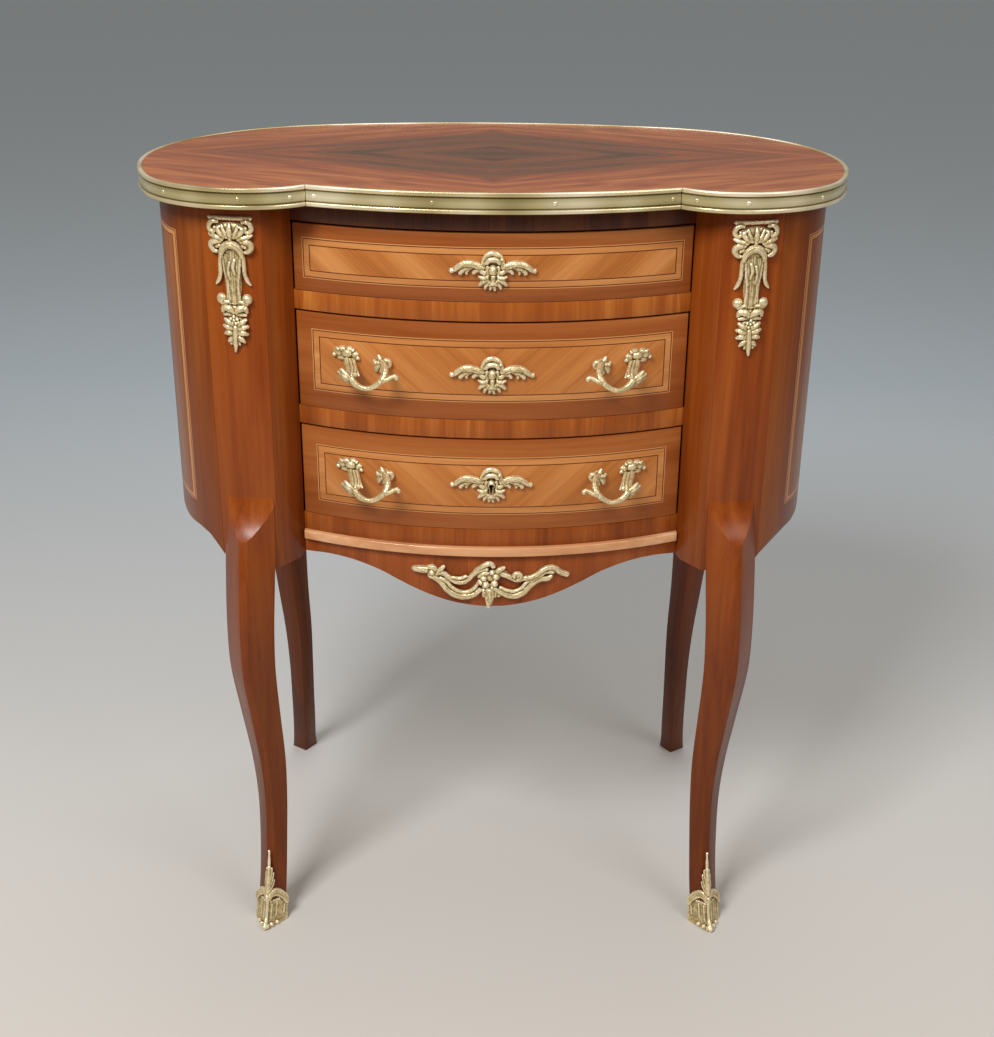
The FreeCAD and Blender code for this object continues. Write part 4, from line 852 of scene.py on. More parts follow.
def keyhole_bit(back=0.0, down=0.0):
    """A round hole with a slot under it, as one cutter, moved back and down from its place."""
    bpy.ops.mesh.primitive_cylinder_add(vertices=32, radius=KEYHOLE_RADIUS * MM,
                                        depth=BIT_LENGTH * MM, rotation=(math.pi / 2, 0, 0),
                                        location=(0, bow_y(0) * MM, KEYHOLE_LEVEL * MM))
    round_bit = named("round_bit")
    bpy.ops.object.transform_apply(location=True, rotation=True, scale=True)
    middle = bow_y(0), KEYHOLE_LEVEL - SLOT_DROP
    slot_bit = block("slot_bit",
                     (-SLOT_WIDTH / 2, middle[0] - BIT_LENGTH / 2, middle[1] - SLOT_HEIGHT / 2),
                     (SLOT_WIDTH / 2, middle[0] + BIT_LENGTH / 2, middle[1] + SLOT_HEIGHT / 2))
    modified(round_bit, "BOOLEAN", operation="UNION", solver="EXACT", object=slot_bit)
    bpy.data.objects.remove(slot_bit)
    round_bit.location = (0, back * MM, -down * MM)
    return round_bit


for number, (low, high) in FRONT_LEVELS.items():
    front = spun("drawer_%d_face" % number, BOW_RADIUS, low, high, FRONT_THICKNESS)
    cut_square(tidied(front), FRONT_HALF)
    eased(tidied(front), EASES["front"])
    if number == 3:
        bored(front, keyhole_bit())
    settled(front, DRAWER_BODIES[number], "panel_veneer", drawer_veneers[number],
            "drawer_%d_front" % number)

# %% [markdown]
# ## Apron and moulding
#
# Under the bottom rail runs a small half-round strip, and below it the apron, whose lower edge
# swings down in the middle. The apron is spun like a drawer front, and then each point of its
# lower edge is moved to the height of the curve at its own place.

# %% The apron and its moulding

APRON_LEVELS = (357.1, 418.6)
APRON_CURVE = [(0, 357.1), (14.5, 357.7), (38, 361.6), (61.5, 369.0), (85, 379.2),
               (104, 388.0), (128, 394.8), (152, 397.1), (176, 395.5)]
MOULDING_LEVELS = (410.1, 418.6)
MOULDING_DEPTH, MOULDING_ROUND = 5.0, 3.9
APRON_STEPS = 200


def smooth_at(table, place):
    """Reads a table of points on a smooth curve, by Hermite steps between its rows."""
    rows = len(table)
    for index in range(rows - 1):
        if place <= table[index + 1][0] or index == rows - 2:
            break
    (x0, y0), (x1, y1) = table[index], table[index + 1]
    before, after = table[max(index - 1, 0)], table[min(index + 2, rows - 1)]
    slope0 = (y1 - before[1]) / (x1 - before[0])
    slope1 = (after[1] - y0) / (after[0] - x0)
    share, span = (place - x0) / (x1 - x0), x1 - x0
    return (y0 * (1 + 2 * share) * (1 - share) ** 2 + y1 * share ** 2 * (3 - 2 * share)
            + slope0 * span * share * (1 - share) ** 2
            - slope1 * span * share ** 2 * (1 - share))


apron = spun("apron_veneered", BOW_RADIUS, *APRON_LEVELS, FRONT_THICKNESS, APRON_STEPS)
cut_square(tidied(apron), OPENING_HALF)
for point in apron.data.vertices:
    if point.co.z < (APRON_LEVELS[0] + 1) * MM:
        out = math.hypot(point.co.x, point.co.y - BOW_CENTRE[1] * MM)
        face_x = abs(point.co.x) * BOW_RADIUS * MM / out
        point.co.z = smooth_at(APRON_CURVE, face_x / MM) * MM
eased(tidied(apron), EASES["apron"])
settled(apron, "carcass", "crossbanding", rail_woods["apron"], "apron")

strip = spun("moulding_strip", BOW_RADIUS + MOULDING_DEPTH, *MOULDING_LEVELS,
             MOULDING_DEPTH + 2)
cut_square(tidied(strip), OPENING_HALF)
modified(strip, "BEVEL", width=MOULDING_ROUND * MM, segments=6, limit_method="ANGLE",
         angle_limit=math.radians(60), use_clamp_overlap=True)
settled(tidied(strip), "carcass", "moulding_wood", moulding_wood, "apron_moulding")

# %% [markdown]
# ## Stiles
#
# Between each post and the drawers stands a narrow upright that turns back to the opening. It
# could be drawn in one with the post, but it is a piece of its own with its own grain, so its
# plan is pulled up by itself. Its foot is cut with one plane, to a slope that leads from the
# apron to the leg.

# %% Stiles

POST_INNER, POST_OUTER = 197.0, 250.0
STILE_FOOT = ((176.0, 395.0), (197.0, 390.6))
SIDE_BOTTOM = 421.0


def body_y(arc, x, front=True):
    """The y of the body's outline on an arc at x."""
    return on_arc(arc, turn_at_x(arc, x, OVERHANG, front), OVERHANG)[1]


stile_plan = [(OPENING_HALF, bow_y(OPENING_HALF)), (POST_INNER, body_y("inner", POST_INNER)),
              (POST_INNER, POST_BACK), (OPENING_HALF, POST_BACK)]
stile = upright("stile_right_return", stile_plan, STILE_FOOT[1][1], BODY_TOP)
run, fall = (b - a for a, b in zip(*STILE_FOOT))
sliced(stile, (STILE_FOOT[0][0] * MM, 0, STILE_FOOT[0][1] * MM), (fall, 0, -run))
eased(tidied(stile), EASES["stile"])
left_stile = mirrored(stile, "stile_left_return")
settled(stile, "carcass", "carcass_wood", stile_wood, "stile_right")
settled(left_stile, "carcass", "carcass_wood", stile_wood, "stile_left")

# %% [markdown]
# ## Bent sides
#
# Each side is one bent panel from the front post round to the rear one. Its plan is drawn
# along the arcs, outer face first and inner face back, then pulled up. Close to the front post
# its lower edge sweeps down into the knee of the leg, so the points there are let down.

# %% Side panels

PANEL_THICKNESS = 14.0
SWEEP = [(250.0, 21.0), (255.0, 14.5), (260.0, 8.5), (265.0, 4.0), (270.0, 1.2), (276.0, 0.0)]


def side_face(inset, steps):
    """Points along the side from the front post to the rear post, set in from the edge."""
    front = turn_at_x("lobe", POST_OUTER, inset)
    rear = turn_at_x("corner", POST_OUTER, inset, front=False)
    return (along_arc("lobe", front, LOBE_END, inset, steps)
            + along_arc("side", LOBE_END, 0, inset, steps)[1:]
            + along_arc("corner", 0, rear, inset, steps)[1:])


panel_plan = side_face(OVERHANG, 24) + side_face(OVERHANG + PANEL_THICKNESS, 24)[::-1]
panel = upright("side_right_bent", panel_plan, SIDE_BOTTOM, BODY_TOP)
for point in panel.data.vertices:
    near_post = point.co.x < SWEEP[-1][0] * MM and point.co.y < POST_BACK * MM
    if point.co.z < (SIDE_BOTTOM + 1) * MM and near_post:
        point.co.z -= max(smooth_at(SWEEP, point.co.x / MM), 0) * MM
eased(tidied(panel), EASES["side"], degrees=50)
left_panel = mirrored(panel, "side_left_bent")
settled(panel, "carcass", "panel_veneer", side_wood, "side_panel_right")
settled(left_panel, "carcass", "panel_veneer", side_wood, "side_panel_left")

# %% [markdown]
# ## Posts and cabriole legs
#
# Post and leg are one length of wood. The leg is a square bar set with an arris to the corner,
# and it swings out at the knee, in at the ankle and out again at the toe. It is pulled up from
# the foot through stations, each with its own place, width and eased corners. The post is its
# plan pulled up, and the two are joined into one body. Where the arris runs into the flat face
# of the post it is stopped by a slanting cut in the shape of a spearhead.

# %% Legs

LEG_TURN = math.radians(10.0)
ANKLE = {-1: (215.5, -150.0), 1: (219.5, 126.0)}
HALF_DIAGONAL = 24.7
SIDE_SWING, SWING = 10.0, 26.0
KNEE_LEVEL = 421.0
# share of the height, side swing, swing to front or back, half diagonal of a front leg and
# of a rear leg
LEG_STATIONS = [(0.0, 0.74, 1.0, 0.63, 0.60), (0.03, 0.68, 0.86, 0.60, 0.56),
                (0.11, 0.49, 0.50, 0.585, 0.55), (0.20, 0.38, 0.20, 0.59, 0.55),
                (0.31, 0.31, 0.0, 0.63, 0.57), (0.42, 0.44, 0.02, 0.715, 0.63),
                (0.55, 0.89, 0.18, 0.825, 0.72), (0.68, 1.25, 0.42, 0.93, 0.84),
                (0.80, 1.12, 0.60, 0.965, 0.93), (0.91, 0.92, 0.47, 0.99, 0.98),
                (1.0, 0.8, 0.23, 1.0, 1.0), (1.13, 0.8, 0.23, 1.0, 1.0)]
LEG_STEPS = 64
ARRIS_FLAT, ARRIS_ROUND = 5.4, 0.42
CORNER_FLAT, CORNER_ROUND = 1.1, 0.29
# above the knee the outer corner draws in to the post, over this height
OUTER_DRAW, DRAW_HEIGHT = 0.32, 50.0


def leg_column(column, share):
    """One column of the stations, read at a share of the leg's height."""
    return smooth_at([(row[0], row[column]) for row in LEG_STATIONS], share)


def leg_corners(end, share):
    """The middle of a leg's section, and its four corners: front, outer, back and inner."""
    middle = Vector((ANKLE[end][0] + SIDE_SWING * leg_column(1, share),
                     ANKLE[end][1] + end * SWING * leg_column(2, share)))
    half = HALF_DIAGONAL * leg_column(3 if end < 0 else 4, share)
    drawn_in = max(share - 1, 0) * KNEE_LEVEL / DRAW_HEIGHT * OUTER_DRAW
    ahead = Vector((math.sin(LEG_TURN), end * math.cos(LEG_TURN)))
    outward = Vector((math.cos(LEG_TURN), -end * math.sin(LEG_TURN)))
    return middle, [ahead * half, outward * half * (1 - drawn_in), -ahead * half,
                    -outward * half]


def leg_section(end, share):
    """A leg's section with a flat down its arris and its other corners eased."""
    middle, corners = leg_corners(end, share)
    section = []
    for index, corner in enumerate(corners):
        flat, rounding = (ARRIS_FLAT, ARRIS_ROUND) if index == 0 else (CORNER_FLAT, CORNER_ROUND)
        to_last = (corners[index - 1] - corner).normalized() * flat
        to_next = (corners[(index + 1) % 4] - corner).normalized() * flat
        eased_corner = corner + (to_last + to_next) * rounding
        section += [corner + to_last, eased_corner, corner + to_next]
    return [(middle.x + p.x, middle.y + p.y) for p in section]


def lofted(name, sections):
    """A bar pulled up from its first section through the others."""
    corners = len(sections[0])
    bpy.ops.mesh.primitive_circle_add(vertices=corners, radius=0.01, fill_type="NGON",
                                      location=sections[0][0])
    piece = named(name)
    bpy.ops.object.transform_apply(location=True, rotation=True, scale=True)
    for point, place in zip(piece.data.vertices, sections[0]):
        point.co = place
    for section in sections[1:]:
        known = len(piece.data.vertices)
        bpy.ops.object.mode_set(mode="EDIT")
        bpy.ops.mesh.extrude_region_move(TRANSFORM_OT_translate={"value": (0, 0, 0)})
        bpy.ops.object.mode_set(mode="OBJECT")
        for index, place in zip(range(known, known + corners), section):
            piece.data.vertices[index].co = place
    return tidied(piece)


REAR_POST_DEPTH = 23.0


def post_plan(end):
    """A post's plan: its face along the body's outline, and square behind."""
    if end < 0:
        face = (along_arc("inner", turn_at_x("inner", POST_INNER, OVERHANG), -90, OVERHANG, 8)
                + along_arc("lobe", -90, turn_at_x("lobe", POST_OUTER, OVERHANG), OVERHANG,
                            20)[1:])
        return face + [(POST_OUTER, POST_BACK), (POST_INNER, POST_BACK)]
    face = along_arc("corner", turn_at_x("corner", POST_INNER, OVERHANG, False),
                     turn_at_x("corner", POST_OUTER, OVERHANG, False), OVERHANG, 20)
    back = face[-1][1] - REAR_POST_DEPTH
    return face + [(POST_OUTER, back), (POST_INNER, back)]


def post_face_y(end, x):
    """The y of a post's face at x. A front post's face runs over the crown of the lobe."""
    if end > 0:
        return body_y("corner", x, front=False)
    return body_y("inner" if x < ARCS["lobe"][0][0] else "lobe", x)


print("arris at the ankle", [round(v, 1) for v in leg_section(-1, 0.2)[1]])

# %% The slanting cut and the square posts

# the hollow of the spearhead: how far out of the post's face, and how far over the knee
SPEAR_HOLLOW = [(22.5, 2.0), (16.0, 7.4), (10.6, 14.4), (6.0, 22.0), (2.4, 31.0), (-0.5, 42.0)]
SPEAR_STEPS, SPEAR_SIDE = 16, 20.0


def spear_bit(end):
    """A cutter whose hollow face leaves the spearhead and follows the post's face across."""
    outline = SPEAR_HOLLOW + [(-0.5, 80.0), (60.0, 80.0), (60.0, SPEAR_HOLLOW[0][1])]
    sections = []
    for step in range(SPEAR_STEPS + 1):
        across = POST_INNER + (POST_OUTER - POST_INNER) * step / SPEAR_STEPS
        face = post_face_y(end, across)
        place = across + SPEAR_SIDE * ((step == SPEAR_STEPS) - (step == 0))
        sections.append([(place * MM, (face + end * out) * MM, (KNEE_LEVEL + rise) * MM)
                         for out, rise in outline])
    return lofted("spear_bit", sections)


INNER_EAR, OUTER_EAR, SWEEP_FOOT = 208.0, 237.6, 400.0
# a room cut in the foot of a post starts well below, ahead of and beside it
ROOM_FOOT, ROOM_FRONT, ROOM_SIDE = 300.0, -220.0, 280.0
LEG_REACH = 1.13


def post(name, end):
    """The square post. A front one runs down a little on both sides of its leg."""
    if end > 0:
        return upright(name, post_plan(end), SIDE_BOTTOM, BODY_TOP)
    piece = upright(name, post_plan(end), STILE_FOOT[1][1], BODY_TOP)
    tidied(piece)
    back = body_y("lobe", POST_OUTER) + PANEL_THICKNESS
    rooms = {"leg_room": ((INNER_EAR, ROOM_FRONT, ROOM_FOOT), (OUTER_EAR, 0, SIDE_BOTTOM)),
             "sweep_room": ((OUTER_EAR - THROUGH, ROOM_FRONT, ROOM_FOOT),
                            (ROOM_SIDE, 0, SWEEP_FOOT)),
             "back_room": ((OUTER_EAR - THROUGH, back, ROOM_FOOT),
                           (ROOM_SIDE, 0, SIDE_BOTTOM))}
    for room, corners in rooms.items():
        bored(piece, block(room, *corners))
    return piece


def post_and_leg(name, end, foot):
    """A leg pulled up into its post, with the spearhead cut, and the post joined to it."""
    rise = LEG_REACH * KNEE_LEVEL - foot
    levels = [foot + rise * i / LEG_STEPS for i in range(LEG_STEPS + 1)]
    sections = [at_level(leg_section(end, level / KNEE_LEVEL), level) for level in levels]
    leg = lofted(name, sections)
    bored(leg, spear_bit(end))
    upper = post(name + "_post", end)
    eased(tidied(upper), EASES["post"])
    pick(upper, leg)
    bpy.ops.object.join()
    return leg


for end, word, foot in ((-1, "front", 3.0), (1, "back", 0.0)):
    leg = post_and_leg("leg_%s_right_carved" % word, end, foot)
    left_leg = mirrored(leg, "leg_%s_left_carved" % word)
    for piece, node in ((leg, "leg_%s_right" % word), (left_leg, "leg_%s_left" % word)):
        settled(piece, "carcass", "carcass_wood", leg_woods[node], node, degrees=28)

# %% [markdown]
# ## The brass edge
#
# The top sits in an edge of drawn brass: two beads with a sunk band between them. The drawn
# strip was bent to the plan in four lengths that meet at the two cusps in front and behind the
# corners. A curve with a bevel profile could be bent the same way, but its ends can't be
# mitred, so the strip is pulled from section to section, and each point of the profile follows
# its own arc to the place where it meets its neighbour. Small domed pins hold it to the board.

# %% Brass lengths

# the drawn strip's profile: how far out of the plan's line, and how high
EDGE_PROFILE = [(-4.0, 728.0), (-1.3, 728.0), (-0.4, 728.3), (0.0, 729.1), (0.0, 730.6),
                (-0.4, 731.4), (-1.0, 731.8), (-1.6, 732.1), (-1.6, 732.5), (-1.1, 732.9),
                (-0.9, 737.0), (-1.1, 741.2), (-1.6, 741.6), (-1.6, 742.0), (-1.0, 742.3),
                (-0.4, 742.7), (0.0, 743.5), (0.0, 744.7), (-0.4, 745.6), (-1.3, 746.0),
                (-3.3, 746.0), (-4.0, 745.5)]
JOINT_MM = 0.3
EDGE_STEP_MM = 3.0


def cusp_turn(arc, other, out):
    """The direction on one arc where it meets another, both moved out alike."""
    (ax, ay), a_radius = ARCS[arc]
    (bx, by), b_radius = ARCS[other]
    a_radius, b_radius = a_radius + out, b_radius + out
    gap = math.hypot(bx - ax, by - ay)
    along = (a_radius ** 2 - b_radius ** 2 + gap ** 2) / (2 * gap)
    aside = math.sqrt(a_radius ** 2 - along ** 2) * (-1 if arc == "bow" else 1)
    x = (bx - ax) / gap * along - (by - ay) / gap * aside
    y = (by - ay) / gap * along + (bx - ax) / gap * aside
    return math.degrees(math.atan2(y, x))


def bent_strip(name, *stretches):
    """The strip along one or more arcs. A stretch is an arc and the turns it runs between."""
    sections = []
    for arc, start, end in stretches:
        radius = ARCS[arc][1]
        swing = abs(math.radians(end(0) - start(0))) * radius
        steps = round(swing / EDGE_STEP_MM)
        for step in range(1 if sections else 0, steps + 1):
            section = []
            for out, level in EDGE_PROFILE:
                turn = start(out) + (end(out) - start(out)) * step / steps
                x, y = on_arc(arc, turn, -out)
                section.append((x * MM, y * MM, level * MM))
            sections.append(section)
    return lofted(name, sections)


def at(turn):
    """A direction that is the same for every point of the profile."""
    return lambda out: turn


BOW_JOINT = math.degrees(JOINT_MM / ARCS["bow"][1])
LOBE_JOINT = math.degrees(JOINT_MM / ARCS["inner"][1])
BACK_JOINT = math.degrees(JOINT_MM / ARCS["back"][1])
front_edge = bent_strip("rim_front_drawn", (
    "bow", lambda out: -180 - cusp_turn("bow", "inner", out) + BOW_JOINT,
    lambda out: cusp_turn("bow", "inner", out) - BOW_JOINT))
right_edge = bent_strip(
    "rim_right_drawn",
    ("inner", lambda out: cusp_turn("inner", "bow", out) + LOBE_JOINT, at(-90)),
    ("lobe", at(-90), at(LOBE_END)), ("side", at(LOBE_END), at(0)),
    ("corner", at(0), at(CORNER_END - BACK_JOINT)))
left_edge = mirrored(right_edge, "rim_left_drawn")
back_edge = bent_strip("rim_back_drawn", ("back", at(CORNER_END + BACK_JOINT),
                                          at(180 - CORNER_END - BACK_JOINT)))
for edge, node in ((front_edge, "rim_front"), (right_edge, "rim_right"),
                   (left_edge, "rim_left"), (back_edge, "rim_back")):
    settled(edge, "carcass", "rim_brass", rim_brass, node, degrees=28)

# %% Brass pins

PIN_RADIUS, PIN_DOME, PIN_LEVEL, PIN_SINK = 2.0, 1.1, 737.0, 1.15
BOW_PINS, BACK_PINS = (152.0, 51.2), (-140.2, 0.0, 140.2)
SIDE_PINS = (("inner", -120.6), ("lobe", -87.3), ("lobe", -45.9), ("side", -5.4),
             ("corner", 45.0))


def pin(arc, turn, side=1):
    """A domed pin on the sunk band."""
    x, y = on_arc(arc, turn, PIN_SINK)
    bpy.ops.mesh.primitive_uv_sphere_add(segments=20, ring_count=12, radius=PIN_RADIUS * MM,
                                         location=(x * side * MM, y * MM, PIN_LEVEL * MM))
    head = named("pin")
    bpy.ops.transform.resize(value=(PIN_DOME / PIN_RADIUS, 1, 1))
    head.rotation_euler.z = math.radians(turn if side > 0 else 180 - turn)
    return head


pins = [pin("bow", turn_at_x("bow", x * side)) for x in BOW_PINS for side in (-1, 1)]
pins += [pin("back", turn_at_x("back", x, front=False)) for x in BACK_PINS]
pins += [pin(arc, turn, side) for arc, turn in SIDE_PINS for side in (-1, 1)]
pick(*pins)
bpy.ops.object.join()
settled(named("rim_pins_domed"), "carcass", "rim_brass", pin_brass, "rim_pins")

# %% [markdown]
# ## Casting tools
#
# The mounts are cast leaf work. Each is built as a founder's wax is: round bars that swell and
# taper are laid side by side as ribs and scrolls, with a few domes, all are melted into one
# skin with a fine voxel remesh, the skin is smoothed, and its hollows are marked in a colour
# layer. Sculpting brushes can't be written down, and bars can. A pattern is written flat, as
# across, up and out in millimetres with a radius, and then bent to the face that carries it.

# %% Bars, domes and the melt

VOXEL_MM = 0.42
# a bar's rounded tip: how far it reaches on, and how thick it ends, both as shares of its radius
TIP_REACH, TIP_SHARE = 0.7, 0.35


def rods(name, lines):
    """Round bars through places in millimetres, each place with a radius, as one mesh."""
    bpy.ops.curve.primitive_bezier_curve_add(location=(0, 0, 0))
    curve = named(name)
    curve.data.splines.clear()
    for line in lines:
        first, second, third, last = (Vector(line[place]) for place in (0, 1, -2, -1))
        ahead = (first - second).to_3d().normalized() * first[3] * TIP_REACH
        beyond = (last - third).to_3d().normalized() * last[3] * TIP_REACH
        knots = [(*(first.to_3d() + ahead), first[3] * TIP_SHARE), *line,
                 (*(last.to_3d() + beyond), last[3] * TIP_SHARE)]
        spline = curve.data.splines.new("BEZIER")
        spline.bezier_points.add(len(knots) - 1)
        for point, knot in zip(spline.bezier_points, knots):
            point.co = Vector(knot[:3]) * MM
            point.radius = knot[3]
            point.handle_left_type = "AUTO"
            point.handle_right_type = "AUTO"
    curve.data.dimensions = "3D"
    curve.data.resolution_u = 5
    curve.data.bevel_depth = MM
    curve.data.bevel_resolution = 2
    curve.data.use_fill_caps = True
    pick(curve)
    bpy.ops.object.convert(target="MESH")
    return bpy.context.object


def dome(place, radii, turn=(0, 0, 0)):
    """An egg-shaped swelling at a place, both in millimetres."""
    bpy.ops.mesh.primitive_uv_sphere_add(segments=32, ring_count=16, radius=MM,
                                         location=[v * MM for v in place])
    egg = named("dome")
    bpy.ops.transform.resize(value=radii)
    egg.rotation_euler = [math.radians(a) for a in turn]
    return egg


# bars are laid this much thicker than they are written, so that they melt into each other
FULLNESS = 1.25
CHASING_MM, CHASING_SIZE_MM = 0.5, 2.4


def flat(*bars):
    """Turns bars written as across, up, out, radius into bars in space."""
    return [[(across, -out, up, radius * FULLNESS) for across, up, out, radius in bar]
            for bar in bars]


def both(*bars):
    """The same bars on the right and, mirrored, on the left."""
    return [*bars, *[[(-across, *rest) for across, *rest in bar] for bar in bars]]


def chased(piece, depth_mm):
    """Roughens the skin with a soft cloud pattern, as worn chasing does."""
    clouds = bpy.data.textures.new("chasing", "CLOUDS")
    clouds.noise_scale = CHASING_SIZE_MM * MM
    return modified(piece, "DISPLACE", texture=clouds, strength=depth_mm * MM, mid_level=0.5)


def melted(name, lines, domes=(), voxel_mm=VOXEL_MM, chase_mm=CHASING_MM):
    """Bars and domes joined and melted into one skin, then chased."""
    wax = rods(name, lines)
    pick(*domes, wax)
    bpy.ops.object.join()
    wax = named(name)
    bpy.ops.object.transform_apply(location=True, rotation=True, scale=True)
    modified(wax, "REMESH", mode="VOXEL", voxel_size=voxel_mm * MM)
    modified(wax, "SMOOTH", factor=0.5, iterations=2)
    return chased(wax, chase_mm)


print("voxels of", VOXEL_MM, "mm")

# %% Filing, bending and gilding a casting


def bent(piece, across, up, face):
    """Moves a flat pattern to its place and bends it to the face behind it."""
    for point in piece.data.vertices:
        point.co.x += across * MM
        point.co.z += up * MM
        point.co.y += face(point.co.x / MM) * MM
    return piece


HOLLOW_ROUNDS, HOLLOW_SPAN_MM = 24, 0.6


def hollows_marked(piece):
    """Marks how far each spot stands out of its surroundings: 0.5 is level, less is hollow."""
    mesh = piece.data
    count = len(mesh.vertices)
    place, normal = np.empty(count * 3), np.empty(count * 3)
    ends = np.empty(len(mesh.edges) * 2, dtype=int)
    mesh.vertices.foreach_get("co", place)
    mesh.vertices.foreach_get("normal", normal)
    mesh.edges.foreach_get("vertices", ends)
    place, normal, ends = place.reshape(-1, 3), normal.reshape(-1, 3), ends.reshape(-1, 2)
    one, other = ends.T.ravel(), ends[:, ::-1].T.ravel()
    near = np.bincount(one, minlength=count)
    blurred = place.copy()
    for _ in range(HOLLOW_ROUNDS):
        around = [np.bincount(one, blurred[other, axis], count) / near for axis in range(3)]
        blurred = (blurred + np.stack(around, axis=1)) / 2
    proud = ((place - blurred) * normal).sum(axis=1) / (HOLLOW_SPAN_MM * MM)
    tone = np.clip(0.5 + proud / 2, 0, 1)
    layer = mesh.color_attributes.new(name=RELIEF_LAYER, type="FLOAT_COLOR", domain="POINT")
    layer.data.foreach_set("color", np.stack([tone, tone, tone, np.ones(count)], 1).ravel())
    return piece


def whole_skin(piece):
    """Keeps the skin that reaches furthest forward and drops the flecks beside it."""
    into_mesh(piece)
    bpy.ops.mesh.select_all(action="DESELECT")
    bpy.ops.object.mode_set(mode="OBJECT")
    foremost = min(piece.data.vertices, key=lambda point: point.co.y)
    foremost.select = True
    bpy.ops.object.mode_set(mode="EDIT")
    bpy.ops.mesh.select_linked()
    bpy.ops.mesh.select_all(action="INVERT")
    bpy.ops.mesh.delete(type="VERT")
    bpy.ops.object.mode_set(mode="OBJECT")
    return piece


def trimmed(piece, behind_mm=0.4):
    """Files the back of a flat pattern level."""
    return sliced(piece, (0, behind_mm * MM, 0), (0, 1, 0))


def gilt(piece, body, node):
    """Finishes a casting and fixes it where the solid is."""
    hollows_marked(whole_skin(piece))
    return settled(piece, body, "gilt_bronze", gilt_bronze, node, degrees=80)


print("hollows up to", HOLLOW_SPAN_MM, "mm deep are marked")

# %% [markdown]
# ## The chutes
#
# Each front post carries a long gilt drop. From the top it has a flat bar, a crest of curled
# leaves, two side leaves, a smooth hood over hanging folds that spread into lappets, a pair of
# volutes, a bow of two leaves, berries among leaves and a pointed drop. Every leaf, fold and
# scroll is a bar of its own, so one that sits wrong is put right without touching the others.
# The left chute mirrors the right one.

# %% Chutes

CHUTE_MIDDLE, CHUTE_FOOT = 223.5, 599.0
BERRY_PLACES = [(1.2, 30.5), (-1.7, 31.5), (3.9, 31.8), (-0.4, 27.8), (2.8, 28.0), (-2.8, 28.6),
                (1.2, 33.6)]


def ball(across, up, out, radius):
    """A short thick bar that melts into a ball."""
    return [(across, up, out - radius * 0.3, radius), (across, up, out + radius * 0.3, radius)]


def scroll(across, up, out, ring, radius, start=0, end=330):
    """A bar curled round a middle."""
    turns = [math.radians(start + (end - start) * i / 8) for i in range(9)]
    return [(across + ring * math.cos(t), up + ring * math.sin(t), out, radius) for t in turns]


FOLD_TOPS = (-7.6, -5.6, -3.8, -1.9, 0.2, 2.1, 3.7, 5.8, 7.7)


def fold(index, top):
    """One hanging fold: it draws in towards the waist, sways a little and spreads again."""
    sway = 0.5 * math.sin(index * 2.4)
    radius = 0.85 + 0.2 * math.cos(index * 1.7)
    return [(top, 91 - abs(top) * 0.3, 3.8 - abs(top) * 0.15, radius),
            (top * 0.84 + sway, 76, 4.4, radius), (top * 0.64 - sway, 64, 4.4, radius),
            (top * 0.66, 52, 3.8, radius * 1.1), (top * 0.76 + sway, 45.0, 2.8, radius)]


